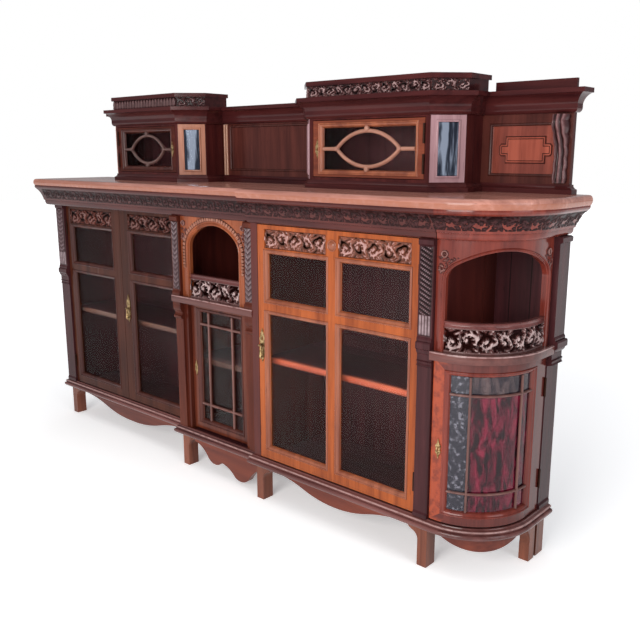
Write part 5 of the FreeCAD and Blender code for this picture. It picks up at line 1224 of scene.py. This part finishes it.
# Crests, centre panel and side bay: a carved mahogany band glued over each cabinet, a long
# grooved-in panel with reeded ends between them, and on the right a panel with a stepped
# tablet laid on it and a carved console.
crest_paints = {
    "left": wood("crest_left", (0.035, 0.010, 0.011), (0.085, 0.026, 0.026), "across", 0.3, 0.3,
                 (0.17, 0.095, 0.095)),
    "right": wood("crest", (0.040, 0.011, 0.012), (0.11, 0.034, 0.032), "across", 0.3, 0.3,
                  (0.44, 0.29, 0.285))}
panel_wood = wood("panel", (0.045, 0.012, 0.010), (0.115, 0.030, 0.022), "up", 0.2, 0.5, gloss=0.05)
reed_wood = wood("reed", (0.26, 0.115, 0.07), (0.42, 0.21, 0.13), "up", 0.2, 0.5)
finish_nodes(panel_wood, "upper_panels")
CREST_BAND = 0.031
CREST_CANT = 0.072
for name, left, right in CABINETS:
    front, back = FRONT_Y - 0.002, STEP_Y - 0.001
    carved = []
    for x0, y0, x1, y1 in ((left - CREST_CANT, back, left - 0.001, front),
                           (left, front, right, front),
                           (right + 0.001, front, right + CREST_CANT, back)):
        wide = math.hypot(x1 - x0, y1 - y0)
        leafy = name == "right" or wide < 0.2
        pitch = wide / round(wide / (0.034 if leafy else 0.017))

        def crest(s, z):
            """Leaf scrolls, or upright leaves along the front of the left crest."""
            if leafy:
                return volutes(s, z, pitch, CREST_BAND)
            return little_leaves(s, z, CREST_BAND, pitch)
        carved.append(carve(straight(x0, y0, x1, y1), 0, wide, CRESTS + 0.002,
                            CRESTS + 0.002 + CREST_BAND, crest, 0.0048))
    piece("crest_carving_" + name, carved, crest_paints[name])

centre, centre_rect = straight(-0.287, BAY_Y, 0.206, BAY_Y), (0.038, 1.044, 0.455, 1.194)
bay, bay_rect = straight(0.774, BAY_Y, 1.029, BAY_Y), (0.026, 1.046, 0.227, 1.176)
EDGE_BEAD = line_up([(-0.004, -0.0075)], bow((-0.003, -0.0005), (0.0045, -0.0005), 0.0026, 8),
                    [(0.005, -0.0075)])
REED = line_up([(-0.005, -0.002)], bow((-0.005, 0), (0.005, 0), 0.004, 9), [(0.005, -0.002)])
piece("panel_beads", [bead(place, box_loop(rect), EDGE_BEAD, loop=True)
                      for place, rect in ((centre, centre_rect), (bay, bay_rect))], sash_dark_wood)
piece("panel_reeds", [bead(centre, [(s, STAGE_LOW), (s, STAGE_HIGH)], REED)
                      for s in (0.008, 0.020, 0.473, 0.485)], reed_wood)

# The tablet's outline: its right side from the bottom up, then the same turned half round.
TABLET_HALF, TABLET_RISE, NOTCH, STEP = 0.074, 0.034, 0.0178, 0.0153
inner, bevel, bevel_z = TABLET_HALF - NOTCH, TABLET_HALF - 0.004, STEP - 0.005
tablet_side = np.array([
    (inner, -TABLET_RISE), (inner, -STEP), (bevel, -STEP), (TABLET_HALF, -bevel_z),
    (TABLET_HALF, bevel_z), (bevel, STEP), (inner, STEP), (inner, TABLET_RISE)])
tablet = np.concatenate([tablet_side, -tablet_side]) + (0.1265, 1.111)
INCISED = line_up([(-0.0078, -0.0045)], bow((-0.0072, -0.003), (-0.0044, -0.003), 0.0014, 6),
                  [(-0.0038, -0.0045)])
piece("bay_tablet_line", [bead(bay, tablet, INCISED + (aside, 0), loop=True)
                          for aside in (0, 0.0052)], panel_wood)


def plate(place, outline, low, high):
    """A thin flat plate: the outline at two depths, its front closed by one face."""
    both = np.repeat(outline[:, None, :], 2, 1)
    spots = place(both[..., 0], both[..., 1], np.array([[low, high]]))
    points, faces, shade = skin(spots, shut=True)
    return points, faces + [(np.arange(len(outline)) * 2 + 1).tolist()], shade


# Painted sheen: the sunk field and the tablet are painted a lighter red and amber than the panel
# round them.
field_sheen_wood = wood("bay_field", (0.14, 0.030, 0.020), (0.30, 0.070, 0.045), "up", 0.2, 0.5)
tablet_sheen_wood = wood("tablet", (0.23, 0.048, 0.028), (0.44, 0.105, 0.062), "up", 0.2, 0.5)
piece("bay_field", [plate(bay, box_loop(bay_rect), -0.007, -0.0053)], field_sheen_wood)
piece("bay_tablet_face", [plate(bay, tablet, -0.0055, -0.0026)], tablet_sheen_wood)

# The console: a tall leaf whose reach follows knots from its foot to its top, waved into
# lobes down its edges and ribbed by cos(2.5 pi a) across, a running from -1 to 1.
CONSOLE_LOW, CONSOLE_HIGH, CONSOLE_X, CONSOLE_HALF = 1.028, 1.198, 1.004, 0.0185
up = np.linspace(CONSOLE_LOW, CONSOLE_HIGH, 90)
reach = np.interp(up, (1.028, 1.044, 1.070, 1.104, 1.130, 1.150, 1.1735, 1.188, 1.198),
                  (0.014, 0.0155, 0.012, 0.0105, 0.018, 0.030, 0.0425, 0.041, 0.034))
reach = np.convolve(np.pad(reach, 4, mode="edge"), np.ones(9) / 9, "valid")[:, None]
aside = np.linspace(-1, 1, 33)[None]
share = (up - CONSOLE_LOW) / (CONSOLE_HIGH - CONSOLE_LOW)
lobes = 0.88 + 0.12 * np.abs(np.sin(5.5 * math.pi * share))[:, None]
ribs = 0.0032 * np.cos(2.5 * math.pi * aside) * np.sqrt(np.maximum(1 - aside ** 2, 0)) * lobes
x = CONSOLE_X + CONSOLE_HALF * aside * lobes
y = BAY_Y - reach * (1 - 0.28 * aside ** 4) - ribs
front = np.stack([x, y, np.broadcast_to(up[:, None], x.shape)], -1)
back = front[:, ::-1].copy()[:, [0, -1]]
back[..., 1] = BAY_Y + 0.002
# The ribs' heights mark the console, so that its wood lays painted highlight on their tops and
# painted shade in the grooves.
shade = np.pad(np.clip(0.5 + ribs / 0.006, 0, 1), ((0, 0), (0, 2)))
console_wood = wood("console", (0.035, 0.010, 0.012), (0.085, 0.026, 0.026), "up", 0.28, 0.3,
                    (0.20, 0.10, 0.10))
piece("bay_acanthus_console", [skin(np.concatenate([front, back], 1), closed=True, ends=True,
                                    shade=shade)], console_wood, ["bay_console"])
